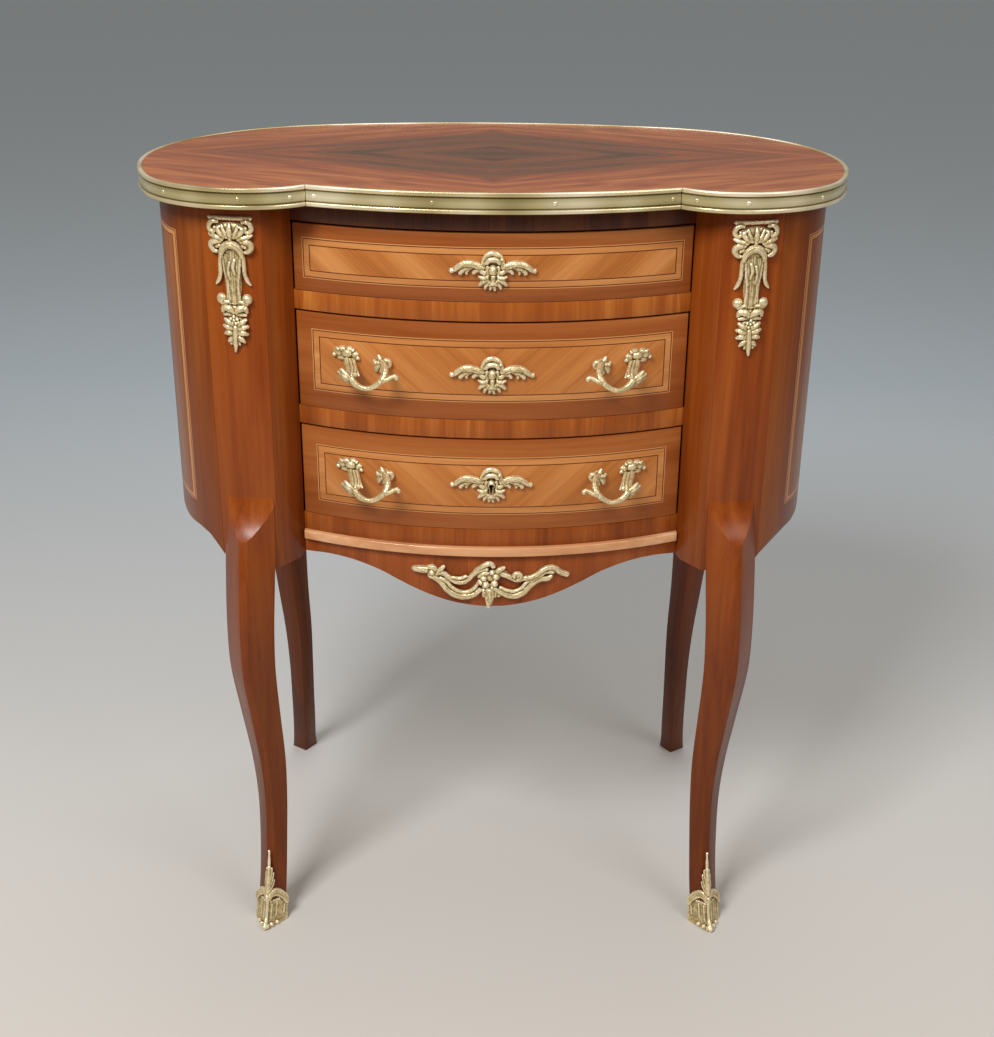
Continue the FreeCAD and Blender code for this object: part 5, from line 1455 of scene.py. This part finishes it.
CHUTE_BARS = [
    [(-18.2, 119.0, 1.2, 1.6), (18.2, 119.0, 1.2, 1.6)],
    [(0.0, 103.0, 3.4, 2.2), (0.6, 109.0, 4.4, 1.8), (0.0, 115.4, 3.0, 0.8)],
    *both([(10.4, 115.6, 2.2, 1.1), (14.4, 116.2, 2.8, 1.7), (18.0, 113.2, 2.8, 1.8),
           (17.8, 108.8, 2.8, 1.8), (14.0, 107.8, 3.0, 1.5), (13.6, 111.2, 2.8, 1.2)],
          [(2.6, 103.0, 3.2, 2.0), (5.4, 107.6, 3.8, 1.6), (7.0, 113.6, 3.0, 0.8)],
          [(5.0, 103.4, 3.2, 1.9), (8.6, 106.0, 3.8, 2.0), (10.4, 110.0, 3.4, 1.7),
           (8.4, 112.0, 3.0, 1.2)],
          [(6.8, 101.4, 3.4, 1.7), (12.4, 102.8, 4.0, 2.0), (18.8, 105.0, 2.6, 1.1)],
          [(8.8, 99.6, 3.2, 1.8), (13.8, 99.4, 4.0, 2.3), (17.4, 96.2, 3.4, 2.3),
           (15.6, 91.6, 3.0, 2.0), (12.0, 90.0, 2.8, 1.4)],
          [(9.8, 96.0, 3.0, 1.6), (13.0, 94.6, 3.0, 1.5)],
          [(9.6, 88.0, 2.6, 1.6), (10.4, 79.0, 2.8, 1.6), (10.8, 71.0, 2.6, 1.6),
           (12.6, 65.6, 2.2, 1.6), (15.2, 61.6, 1.8, 0.9)],
          [(4.4, 47.2, 3.2, 1.5), (8.0, 46.4, 3.4, 1.8), (11.6, 45.2, 3.0, 1.5)],
          [(0.8, 37.6, 3.4, 1.6), (4.6, 41.0, 4.6, 2.7), (9.0, 41.2, 3.8, 2.4),
           (11.0, 37.6, 2.6, 1.3)],
          [(0.6, 36.4, 2.8, 1.2), (5.4, 36.0, 3.0, 1.6), (10.0, 35.0, 2.4, 1.0)],
          [(3.0, 26.0, 3.0, 1.9), (6.2, 29.0, 3.9, 2.1), (9.4, 31.2, 2.6, 1.3)],
          [(3.2, 22.8, 3.0, 2.0), (7.2, 24.6, 3.9, 2.2), (10.8, 25.0, 2.4, 1.3)],
          [(3.0, 19.0, 3.0, 2.0), (6.8, 19.2, 3.7, 2.1), (10.2, 17.8, 2.2, 1.2)],
          [(2.2, 15.0, 3.0, 1.9), (5.0, 13.2, 3.3, 1.9), (7.2, 10.4, 2.0, 1.1)]),
    *[fold(index, top) for index, top in enumerate(FOLD_TOPS)],
    [(-9.2, 85.6, 2.8, 1.6), (-8.0, 91.0, 4.0, 2.3), (-4.6, 95.4, 4.8, 2.8), (0.2, 97.2, 5.0, 3.0),
     (4.8, 95.4, 4.8, 2.8), (8.2, 91.0, 4.0, 2.3), (9.4, 85.6, 2.8, 1.6)],
    [(-2.8, 84, 4.8, 1.1), (-1.2, 78, 5.6, 1.3), (-2.8, 71, 4.8, 0.8)],
    [(1.8, 82, 5.0, 1.0), (3.2, 74, 5.2, 1.1), (1.8, 67, 4.8, 0.8)],
    ball(0.2, 101.8, 4.2, 1.7),
    [(0.4, 25.0, 3.6, 1.8), (0.6, 17.0, 4.0, 2.2), (1.0, 9.0, 3.0, 1.9), (1.6, 1.6, 1.4, 0.9)],
    [(-1.4, 13.0, 3.0, 1.6), (-2.6, 8.0, 2.0, 0.9)],
    [(3.4, 12.8, 3.0, 1.6), (5.2, 8.2, 2.0, 0.9)],
    *[ball(across, up, 3.8, 1.35) for across, up in BERRY_PLACES]]


def chute(name):
    """The whole drop, with plates behind the crest, the folds and the leaves."""
    plates = [dome((0, 0, 108), (16.0, 3.4, 7.6)), dome((0.2, 0, 93.0), (9.6, 5.0, 7.0)),
              dome((0, 0, 68), (7.6, 4.8, 26)), dome((0, 0, 38.5), (9.0, 3.4, 5.4)),
              dome((0.8, 0, 24), (9.8, 4.0, 11.5)),
              *[dome((side * 11.2, -1.6, 48.8), (4.7, 4.0, 4.8)) for side in (-1, 1)]]
    return trimmed(melted(name, flat(*CHUTE_BARS), plates, 0.40))


def lobe_face(x):
    """The y of the front post's face at x."""
    return post_face_y(-1, x)


right_chute = bent(chute("chute_right_cast"), CHUTE_MIDDLE, CHUTE_FOOT, lobe_face)
left_chute = mirrored(right_chute, "chute_left_cast")
gilt(right_chute, "carcass", "chute_right")
gilt(left_chute, "carcass", "chute_left")

# %% [markdown]
# ## The escutcheons
#
# The three drawers carry the same plate: two drooping leaf wings with ball tips, a hooded
# cartouche in the middle with a smooth oval boss under the hood, and ragged leaves below. Only
# the lowest one is bored for a key. It could be bored in its place on the drawer, but the cut
# comes out clean while the plate is still flat, so it is bored first and filed and bent after.

# %% Escutcheons

ESCUTCHEON_BARS = [
    *both([(8.0, 0.6, 2.6, 1.9), (13.0, 3.2, 3.2, 2.3), (19.2, 4.6, 3.4, 2.7),
           (25.4, 3.8, 3.0, 2.5), (30.2, 1.0, 2.6, 2.1), (33.6, -1.6, 2.0, 1.8),
           (36.0, -2.2, 1.8, 2.0)],
          [(10.0, -0.2, 3.4, 1.1), (15.4, 2.4, 4.6, 1.3), (21.0, 3.4, 4.8, 1.3),
           (26.4, 2.0, 4.0, 1.0)],
          [(17.4, 1.8, 2.4, 1.8), (22.6, 0.6, 2.4, 2.0), (26.4, -2.0, 2.2, 1.8),
           (28.2, -4.6, 1.8, 1.6)],
          [(20.0, 0.6, 2.2, 1.5), (22.6, -2.6, 1.8, 1.4), (22.4, -5.2, 1.4, 0.9)],
          [(10.6, -0.8, 2.6, 1.7), (14.4, -1.4, 2.4, 1.8), (16.8, -4.0, 2.0, 1.4)],
          [(6.4, -3.6, 3.0, 1.7), (9.0, -2.4, 3.2, 1.8), (10.6, 1.0, 2.6, 1.2)],
          [(4.6, -7.6, 3.0, 1.8), (8.2, -8.0, 3.4, 1.9), (12.0, -6.8, 2.2, 0.9)],
          [(4.4, -9.6, 3.0, 1.8), (8.4, -11.0, 3.2, 1.9), (11.6, -14.4, 2.0, 1.1)],
          [(3.0, -11.0, 3.0, 1.7), (5.6, -14.0, 2.8, 1.6), (6.8, -17.6, 1.8, 0.8)],
          [(8.2, 3.2, 2.6, 1.6), (8.0, 7.0, 3.0, 1.7), (6.0, 10.8, 3.2, 1.8),
           (3.0, 13.0, 3.4, 1.9), (0.0, 13.6, 3.4, 1.9)],
          [(5.8, 5.2, 4.2, 1.7), (3.6, 7.8, 5.2, 1.8), (0.0, 8.8, 5.6, 1.9)],
          [(4.4, 2.0, 3.0, 1.2), (5.2, -2.2, 3.0, 1.2), (3.8, -6.4, 3.0, 1.1)]),
    ball(7.4, 8.4, 4.2, 1.6), ball(-6.8, 5.2, 4.0, 1.5),
    [(0.2, -6.0, 4.2, 1.7), (0.2, -10.4, 4.2, 1.5)],
    [(-3.4, -14.0, 3.0, 1.3), (0.2, -12.2, 4.2, 1.9), (3.8, -13.8, 3.0, 1.3)],
    [(-1.6, -15.0, 2.6, 1.5), (-2.4, -18.6, 1.6, 0.8)],
    [(1.0, -15.0, 2.6, 1.5), (1.8, -19.0, 1.6, 0.9)]]
ESCUTCHEON_LEVELS = {1: 679.4, 2: 586.6, 3: 482.8}


def escutcheon(name, bit=None):
    """The plate, bored with a bit if it is given one, and filed level behind."""
    plates = [dome((0, 0, 8.6), (7.0, 3.4, 5.6)), dome((0, -0.6, -1.4), (4.0, 6.4, 5.8)),
              dome((0, 0, -9.4), (7.6, 2.8, 7.0)), dome((7, 0, -1.4), (6.0, 2.4, 4.6)),
              dome((-7, 0, -1.4), (6.0, 2.4, 4.6))]
    plate = melted(name, flat(*ESCUTCHEON_BARS), plates, 0.38)
    return trimmed(bored(plate, bit) if bit else plate)


for number, level in ESCUTCHEON_LEVELS.items():
    bit = keyhole_bit(-bow_y(0), level) if number == 3 else None
    plate = bent(escutcheon("escutcheon_%d_cast" % number, bit), 0, level, bow_y)
    gilt(plate, DRAWER_BODIES[number], "escutcheon_%d" % number)

# %% [markdown]
# ## The apron's mount
#
# A wide rocaille branch: a flower in the middle over a pointed leaf, two crescents of paired
# ribs on each side, and long tongues at the ends. Half of it could be laid and mirrored, but
# its halves are not alike, so every rib has its own line.

# %% Apron mount

APRON_MOUNT_LEVEL = 379.8
APRON_BARS = [
    [(-71.8, 14.2, 1.8, 2.2), (-66.3, 14.4, 2.3, 3.0), (-59.2, 14.4, 2.3, 3.0)],
    [(-59.2, 16.1, 2.3, 1.9), (-54.1, 17.1, 2.8, 2.6), (-51.0, 15.0, 2.8, 2.1)],
    ball(-54.8, 12.1, 3.9, 2.6),
    [(-56.7, 8.9, 2.5, 2.3), (-51.0, 6.0, 2.8, 2.2), (-45.5, 1.4, 2.8, 2.3),
     (-39.4, -5.8, 2.8, 2.6), (-31.2, -10.5, 2.8, 2.7), (-22.4, -11.3, 2.8, 2.6),
     (-14.9, -8.7, 2.8, 2.2), (-9.6, -3.9, 2.8, 1.9)],
    [(-46.9, 6.6, 3.0, 1.5), (-41.2, 3.5, 3.2, 1.5), (-35.9, -2.3, 3.2, 1.6),
     (-28.6, -6.4, 3.2, 1.6), (-21.2, -6.4, 3.2, 1.6), (-14.9, -2.1, 3.2, 1.5),
     (-11.2, 3.3, 3.2, 1.4)],
    [(-49.6, 12.4, 3.0, 1.9), (-45.5, 16.5, 3.0, 1.9), (-43.5, 18.7, 2.8, 1.5)],
    [(-51.0, 10.9, 2.5, 1.9), (-44.5, 11.9, 3.0, 2.1), (-38.8, 7.8, 3.0, 2.1),
     (-32.6, 3.7, 3.0, 1.9), (-26.5, 2.9, 3.0, 1.7), (-21.0, 6.0, 3.0, 1.7),
     (-16.7, 11.3, 3.2, 1.9), (-11.2, 16.9, 3.4, 2.1), (-5.5, 21.4, 3.7, 2.2),
     (-0.4, 23.1, 3.7, 2.2), (2.9, 19.8, 3.4, 1.9)],
    [(-41.2, 6.8, 3.0, 1.4), (-34.7, 7.6, 3.2, 1.4), (-28.6, 7.2, 3.2, 1.4),
     (-22.8, 9.7, 3.2, 1.4)],
    [(-14.1, 12.8, 3.4, 1.5), (-8.8, 16.9, 4.1, 1.7), (-3.5, 17.7, 4.4, 1.7)],
    [(-11.0, 9.3, 3.4, 1.5), (-6.9, 13.0, 4.4, 1.7), (-2.7, 13.6, 4.6, 1.5)],
    ball(-6.6, 8.4, 5.1, 2.6), ball(-9.2, 4.6, 4.5, 2.7), ball(-4.8, 2.2, 5.1, 3.0),
    ball(3.6, 3.2, 5.1, 2.7), ball(5.0, 10.4, 5.3, 2.8), ball(1.6, 14.6, 5.1, 2.3),
    [(4.5, 13.0, 3.9, 2.1), (8.2, 16.7, 3.7, 2.3), (12.6, 19.0, 3.0, 1.5)],
    [(6.1, 13.4, 3.4, 2.1), (12.9, 11.5, 3.2, 2.1), (18.8, 8.7, 3.0, 2.1)],
    scroll(24.9, 9.7, 3.2, 2.8, 2.0, 200, -90),
    ball(25.6, 10.2, 3.4, 1.9),
    [(19.4, 7.8, 2.8, 1.9), (24.5, 5.6, 2.8, 1.6), (30.6, 7.2, 2.8, 1.9),
     (36.7, 8.0, 2.8, 2.1), (42.4, 10.3, 3.0, 2.2), (48.1, 14.6, 3.0, 2.3),
     (54.3, 17.7, 3.0, 2.3), (59.8, 16.7, 2.8, 2.2), (64.9, 12.2, 2.3, 2.3),
     (71.8, 8.9, 1.8, 2.3)],
    [(37.7, 4.5, 3.0, 1.7), (44.5, 8.4, 3.2, 1.6), (51.4, 13.2, 3.2, 1.6),
     (58.5, 12.8, 3.0, 1.6)],
    [(1.0, -1.9, 3.2, 1.9), (8.2, -5.6, 3.0, 2.2), (14.9, -9.1, 2.8, 2.4),
     (22.0, -10.5, 2.8, 2.6), (28.8, -8.2, 2.8, 2.6), (34.3, -3.3, 2.8, 2.4),
     (39.2, 1.9, 2.8, 2.3), (46.5, 6.0, 2.8, 2.2), (53.7, 6.6, 2.5, 2.2),
     (56.7, 8.7, 2.5, 1.6)],
    [(8.8, -1.4, 3.4, 1.4), (15.7, -4.5, 3.4, 1.5), (22.2, -5.6, 3.2, 1.5),
     (28.6, -2.7, 3.2, 1.5), (32.4, 1.9, 3.2, 1.4), (36.1, 4.9, 3.0, 1.3)],
    [(33.7, 3.1, 2.8, 1.2), (39.2, -0.6, 2.3, 1.2)],
    [(38.8, 5.2, 2.8, 1.2), (43.2, 2.7, 2.3, 1.2)],
    [(-6.1, -4.1, 2.8, 1.9), (-5.7, -10.9, 2.5, 1.7)],
    [(5.7, -4.5, 2.8, 1.9), (7.8, -10.7, 2.3, 1.6)],
    [(-2.7, -3.1, 3.2, 2.1), (-2.9, -10.9, 3.2, 2.1), (-2.2, -17.5, 2.8, 1.9),
     (-1.8, -23.1, 1.8, 1.4)],
    [(1.8, -3.5, 3.2, 2.1), (1.2, -10.9, 3.2, 2.1), (0.0, -16.5, 2.8, 1.6)],
    [(-0.8, -4.0, 3.6, 2.4), (-0.8, -12.0, 3.6, 2.3), (-1.2, -19.0, 2.6, 1.6)],
    [(-5.4, -6.0, 3.0, 2.0), (-4.6, -11.0, 2.8, 1.6)],
    [(4.4, -6.0, 3.0, 2.0), (4.0, -11.0, 2.8, 1.6)]]


def apron_mount():
    """The branch, with plates behind the flower and the leaf."""
    plates = [dome((-0.4, 0, 9.4), (6.2, 5.0, 5.6)), dome((-0.4, -1.2, -6.0), (6.6, 3.0, 7.6)),
              dome((-0.6, -0.6, -15.0), (3.6, 2.6, 7.0)), dome((-0.4, -4.0, 9.4), (3.6, 1.8, 3.6)),
              dome((-11.0, 0, 14.0), (7.0, 3.0, 4.4), (0, -40, 0)),
              dome((9.0, 0, 12.0), (7.0, 2.8, 3.4))]
    return trimmed(melted("apron_mount_cast", flat(*APRON_BARS), plates))


gilt(bent(apron_mount(), 0, APRON_MOUNT_LEVEL, bow_y), "carcass", "apron_mount")

# %% [markdown]
# ## The handles
#
# Each handle is one casting: a leafy pad at the outer end, a fluted arm that stands out from it
# and flares into a fan, a smooth grip that swings down and up again, and at the inner end a bud
# on its own small pad, with a twig and a round tip beside it. The grip could be a ring cut and
# bent, but a single bar through a dozen places follows its swing and swells where it should.
# The left handles mirror the right ones.

# %% Handles

HANDLE_LEVELS = {2: 597.0, 3: 490.8}
HANDLE_BARS = [
    [(136.6, 3.4, 2.4, 1.6), (138.2, 5.0, 2.0, 0.9)],
    [(140.0, -1.6, 2.2, 1.7), (141.4, -2.4, 1.8, 1.2)],
    [(119.4, -2.6, 2.4, 1.6), (118.0, -3.8, 2.0, 1.3)],
    [(123.4, 3.2, 2.4, 1.5), (122.4, 4.6, 2.0, 1.0)],
    [(128.8, -5.0, 3.6, 2.4), (127.4, -8.2, 9.0, 2.5), (125.8, -11.2, 15.0, 2.5),
     (125.2, -15.2, 20.4, 2.5)],
    [(126.2, -5.4, 4.0, 2.4), (124.6, -8.4, 9.4, 2.5), (123.0, -11.2, 15.4, 2.5),
     (123.6, -15.0, 20.4, 2.4)],
    [(123.8, -5.4, 3.6, 2.2), (121.8, -8.4, 9.0, 2.3), (120.4, -11.2, 15.0, 2.2),
     (120.6, -13.6, 19.0, 2.0)],
    [(121.6, -8.0, 10.0, 1.2), (118.6, -11.4, 16.4, 1.3), (116.6, -13.4, 19.6, 0.8)],
    [(124.6, -15.8, 21.4, 2.3), (128.6, -12.6, 21.4, 2.2), (132.6, -9.0, 20.4, 1.4)],
    [(124.6, -16.8, 21.8, 2.3), (129.4, -14.2, 22.0, 2.3), (135.0, -11.6, 20.4, 1.4)],
    [(124.0, -17.8, 21.8, 2.3), (129.0, -16.4, 21.6, 2.2), (134.6, -14.6, 20.0, 1.4)],
    [(124.0, -19.2, 21.6, 2.2), (127.8, -18.6, 21.0, 2.0), (131.8, -17.8, 19.8, 1.3)],
    [(124.0, -15.4, 22.0, 2.5), (121.6, -18.8, 22.6, 2.8), (117.4, -21.8, 23.2, 2.4),
     (112.2, -23.2, 23.6, 1.9), (106.4, -22.4, 23.6, 1.8), (101.4, -19.6, 23.4, 1.9),
     (97.6, -16.2, 22.8, 2.1), (95.0, -13.2, 21.2, 2.3), (93.8, -10.0, 18.4, 2.4),
     (93.4, -7.0, 14.6, 2.3), (94.2, -4.8, 10.0, 2.3), (96.0, -4.4, 5.4, 2.5)],
    [(97.4, -4.0, 3.0, 2.0), (98.8, -1.4, 3.0, 1.8), (100.0, 1.4, 2.2, 1.1)],
    [(99.4, -5.0, 3.0, 2.1), (102.8, -5.2, 2.8, 2.0), (104.2, -3.6, 2.2, 1.2)],
    [(99.0, -7.0, 3.0, 2.2), (101.8, -9.6, 2.8, 2.2), (102.6, -12.6, 2.2, 1.6)],
    [(96.8, -8.0, 3.0, 2.2), (97.6, -11.6, 2.6, 1.9), (98.8, -14.0, 2.0, 1.1)],
    [(96.0, -4.4, 4.0, 2.1), (93.4, -2.8, 3.8, 2.1), (90.8, -3.8, 3.0, 2.1),
     (90.8, -6.8, 2.6, 1.9), (93.2, -8.4, 2.8, 1.8)],
    [(95.8, -15.6, 22.4, 2.0), (91.2, -13.6, 22.0, 1.7), (87.4, -11.6, 21.4, 1.5),
     (84.4, -10.8, 20.8, 1.9)],
    [(84.0, -11.0, 20.8, 2.0), (83.4, -13.0, 20.4, 1.9)]]


def handle(name):
    """One casting: its pads, the fan behind the arm, and the bars over them."""
    plates = [dome((128.8, 0, 0.0), (8.6, 3.6, 4.8)), dome((128.8, -2.2, 0.6), (5.0, 3.4, 4.0)),
              dome((136.4, 0, 0.4), (4.8, 3.8, 3.6)), dome((132.8, 0, 3.6), (4.8, 3.6, 2.9)),
              dome((126.4, 0, 4.0), (4.4, 3.4, 2.8)), dome((121.8, 0, -0.6), (4.4, 3.6, 3.6)),
              dome((122.8, 0, -4.6), (3.4, 3.6, 3.0)), dome((134.0, 0, -3.8), (4.2, 3.4, 2.9)),
              dome((98.0, 0, -5.2), (5.8, 3.6, 5.2)), dome((128.6, -21.0, -15.0), (4.6, 2.2, 3.6))]
    return trimmed(melted(name, flat(*HANDLE_BARS), plates, 0.36, 0.45))


for number, level in HANDLE_LEVELS.items():
    right_handle = bent(handle("handle_%d_right_cast" % number), 0, level, bow_y)
    left_handle = mirrored(right_handle, "handle_%d_left_cast" % number)
    gilt(right_handle, DRAWER_BODIES[number], "handle_%d_right" % number)
    gilt(left_handle, DRAWER_BODIES[number], "handle_%d_left" % number)

# %% [markdown]
# ## The shoes
#
# The front feet stand in gilt shoes: a cup with a forward toe, a shell on each visible side,
# and a flame that climbs the arris. The cup could be a block with a room cut in it, but here
# it is pulled up through the leg's own sections, made a little larger, so that it fits the
# foot all round. The ornament is laid on the two faces of the leg.

# %% Shoes

SHOE_WALL, SHOE_TOE, SHOE_CUP = 2.2, 6.1, 36.0
TOE_FLAT, SIDE_FLAT, FLAT_ROUND = 3.0, 1.6, 0.3
SOLE = 0.1
SHOE_LEVELS = [0.0, 2.5, 6.0, 10.0, 15.0, 20.0, 25.0]


def shoe_corners(level):
    """The leg's middle and its corners, grown by the wall, with the toe in front."""
    middle, corners = leg_corners(-1, level / KNEE_LEVEL)
    reach = SHOE_TOE * max(1 - level / SHOE_CUP, 0) ** 2
    grown = [corner + corner.normalized() * SHOE_WALL for corner in corners]
    grown[0] += corners[0].normalized() * reach
    return middle, grown


def shoe_section(level):
    """The cup's section with its four corners eased."""
    middle, corners = shoe_corners(level)
    section = []
    for index, corner in enumerate(corners):
        cut = TOE_FLAT if index == 0 else SIDE_FLAT
        before = (corners[index - 1] - corner).normalized() * cut
        after = (corners[(index + 1) % 4] - corner).normalized() * cut
        section += [corner + before, corner + (before + after) * FLAT_ROUND, corner + after]
    return [((middle.x + p.x) * MM, (middle.y + p.y) * MM, level * MM) for p in section]


def on_shoe(corner, across, level, out, radius):
    """A place on a face of the leg: how far from the arris towards a corner, and how far out."""
    middle, corners = shoe_corners(level)
    edge = corners[corner] - corners[0]
    outward = Vector((edge.y, -edge.x)).normalized()
    outward *= 1 if outward.dot(corners[0]) > 0 else -1
    place = middle + corners[0] + edge * across + outward * out
    return (place.x, place.y, level, radius)


print("toe", [round(v, 1) for v in on_shoe(1, 0, 0, 0, 0)[:2]])

# %% The shoes' ornament

# the arch over the shell and the flames: share of the way from the arris to the corner, and
# level. A flame's point has a radius too, and a toe is a share and a radius
ARCH = ((0.03, 33.0), (0.14, 35.6), (0.30, 36.4), (0.50, 34.4), (0.72, 30.0), (0.92, 23.5))
FLAMES = (((0.0, 37, 2.2), (0.15, 41, 1.9), (0.26, 46.5, 0.8)),
          ((0.0, 41, 2.2), (0.13, 47, 1.8), (0.21, 54.5, 0.8)),
          ((0.0, 46, 2.0), (0.08, 53, 1.6), (0.14, 60.0, 0.8)))
TOES = ((0.05, 3.2), (0.26, 2.6), (0.50, 2.4))


def shoe_bars(corner):
    """The ornament on one face, towards one corner of the leg: a shell over a fluted panel."""
    arch = [on_shoe(corner, across, level - 0.6, 0.8, 2.1) for across, level in ARCH]
    shell = [[on_shoe(corner, across, level - drop, 0.8 - drop * 0.12, 2.4)
              for across, level in ARCH] for drop in (2.6, 5.0)]
    flutes = [[on_shoe(corner, across, 22, -0.5, 1.2),
               on_shoe(corner, across * 0.95, 9, -0.4, 1.2)] for across in (0.22, 0.46, 0.84)]
    flames = [[on_shoe(corner, across, level, 0.4, radius) for across, level, radius in flame]
              for flame in FLAMES]
    toes = [[on_shoe(corner, across - 0.02, radius + 0.6, 0.4, radius),
             on_shoe(corner, across + 0.02, radius + 0.9, 0.4, radius)] for across, radius in TOES]
    return [arch, *shell, *flutes, *flames, *toes]


# along the arris: level, how far out, and radius
RIDGES = [((3.2, 0.6, 3.2), (6.0, 0.2, 2.6), (13, -0.2, 1.5), (24, 0.0, 1.4), (30, 0.6, 2.2)),
          ((29, 0.6, 2.2), (32, 0.8, 2.3)),
          ((35, 0.6, 2.0), (42, 0.4, 2.4), (50, 0.2, 2.0), (57, 0.0, 1.6), (62, 0.0, 2.0)),
          ((61.4, 0.0, 2.0), (62.6, 0.0, 2.0)),
          ((62, -0.2, 1.4), (68, -0.2, 1.6), (74, -0.4, 1.1)),
          ((78.4, -0.2, 1.3), (79.4, -0.2, 1.3)), ((73, -0.4, 1.0), (79, -0.4, 1.0))]


def shoe(name):
    """The cup with its ridge and the ornament of both faces, filed level at the sole."""
    cup = lofted("shoe_cup", [shoe_section(level) for level in SHOE_LEVELS])
    ridges = [[on_shoe(1, 0.0, level, out, radius) for level, out, radius in ridge]
              for ridge in RIDGES]
    wax = melted(name, [*ridges, *shoe_bars(1), *shoe_bars(3)], [cup], 0.4)
    return sliced(wax, (0, 0, SOLE * MM), (0, 0, -1))


right_shoe = shoe("sabot_right_cast")
left_shoe = mirrored(right_shoe, "sabot_left_cast")
gilt(right_shoe, "carcass", "sabot_right")
gilt(left_shoe, "carcass", "sabot_left")

# %% [markdown]
# ## Finishes for the solids that stay
#
# Inner boards, drawer sides and the lock are plain solids that already have the right shape,
# so they keep their mesh and only get a finish.

# %% Finishing the solids

NODE_FINISHES = {"top_board": back_wood, "top_veneer": top_polish, "rim_": rim_brass,
                 "rim_pins": pin_brass, "stile_": stile_wood, "side_panel_": side_wood,
                 "back_panel": back_wood, "apron_moulding": moulding_wood,
                 "chute_": gilt_bronze, "apron_mount": gilt_bronze, "sabot_": gilt_bronze,
                 "escutcheon_": gilt_bronze, "handle_": gilt_bronze, "handle_nuts_": steel,
                 "lock_": steel}
NODE_FINISHES.update(leg_woods)
NODE_FINISHES.update(rail_woods)
for number, veneer in drawer_veneers.items():
    NODE_FINISHES["drawer_%d_front" % number] = veneer


def node_finish(name):
    """The finish whose key is the longest start of the node's name, or the lining wood."""
    keys = [key for key in NODE_FINISHES if name.startswith(key)]
    return NODE_FINISHES[max(keys, key=len)] if keys else lining_wood


for name, solid in nodes.items():
    finish = node_finish(name)
    for slot in solid.material_slots:
        slot.material = finish
print("finished", len(nodes), "solids")

# %% [markdown]
# ## Floor and light
#
# A pale floor, one soft lamp high on the left in front, a weaker and wider one on the right
# and a faint wide one above. A photographed room would light the chest too, but it would also
# show in the polish. The air is a plain pale grey instead: warm where it lights the wood, cool
# where the camera sees it, and dimmer in reflections, so that the lamps model the forms.

# %% The stage

# the floor cools a little from in front of the chest to well behind it
FLOOR_FADE = (-0.6, 1.6)
bpy.ops.mesh.primitive_plane_add(size=40, location=(0, 0, 0))
floor = bpy.context.object
floor.name = "studio_floor"
floor_finish = Finish("floor_paint", Roughness=0.75)
floor_depth = floor_finish.split(floor_finish.place())[1]
floor_finish.colour(floor_finish.ramp(floor_finish.spread(floor_depth, *FLOOR_FADE),
                                      (0.0, "ccc5bd"), (1.0, "b8c4ce")))
floor.data.materials.append(floor_finish.material)
print("floor", floor.name)

# %% Lamps

LAMP_AIM = Vector((0, 0, 0.45))
# each lamp's place, its side in metres and its watts
LAMPS = {"key": ((-0.9, -1.55, 2.35), 0.8, 56), "fill": ((1.4, -1.5, 2.0), 1.0, 13),
         "top": ((0.1, 0.7, 2.3), 1.3, 10)}
for name, (place, side, watts) in LAMPS.items():
    bpy.ops.object.light_add(type="AREA", location=place)
    lamp = bpy.context.object
    lamp.name = "lamp_" + name
    lamp.data.size = side
    lamp.data.energy = watts
    aim = LAMP_AIM - Vector(place)
    lamp.rotation_euler = aim.to_track_quat("-Z", "Y").to_euler()
print("lamps", sorted(LAMPS))

# %% The air round it

AS_LIGHT, AS_SEEN = ("ebe4da", 0.44), ("e2e8ea", 0.31)
world = bpy.data.worlds.new("studio_air")
bpy.context.scene.world = world
world.use_nodes = True
air = world.node_tree
sky = air.nodes["Background"]
seen = air.nodes.new("ShaderNodeLightPath")
wall = air.nodes.new("ShaderNodeMix")
wall.data_type = "RGBA"
air.links.new(seen.outputs["Is Camera Ray"], wall.inputs[0])
wall.inputs[6].default_value = paint(AS_LIGHT[0])
wall.inputs[7].default_value = paint(AS_SEEN[0])
air.links.new(wall.outputs[2], sky.inputs["Color"])
either = air.nodes.new("ShaderNodeMath")
either.operation = "MAXIMUM"
air.links.new(seen.outputs["Is Camera Ray"], either.inputs[0])
air.links.new(seen.outputs["Is Glossy Ray"], either.inputs[1])
level_range = air.nodes.new("ShaderNodeMapRange")
air.links.new(either.outputs[0], level_range.inputs["Value"])
level_range.inputs["To Min"].default_value = AS_LIGHT[1]
level_range.inputs["To Max"].default_value = AS_SEEN[1]
air.links.new(level_range.outputs[0], sky.inputs["Strength"])
print("air", AS_LIGHT, AS_SEEN)
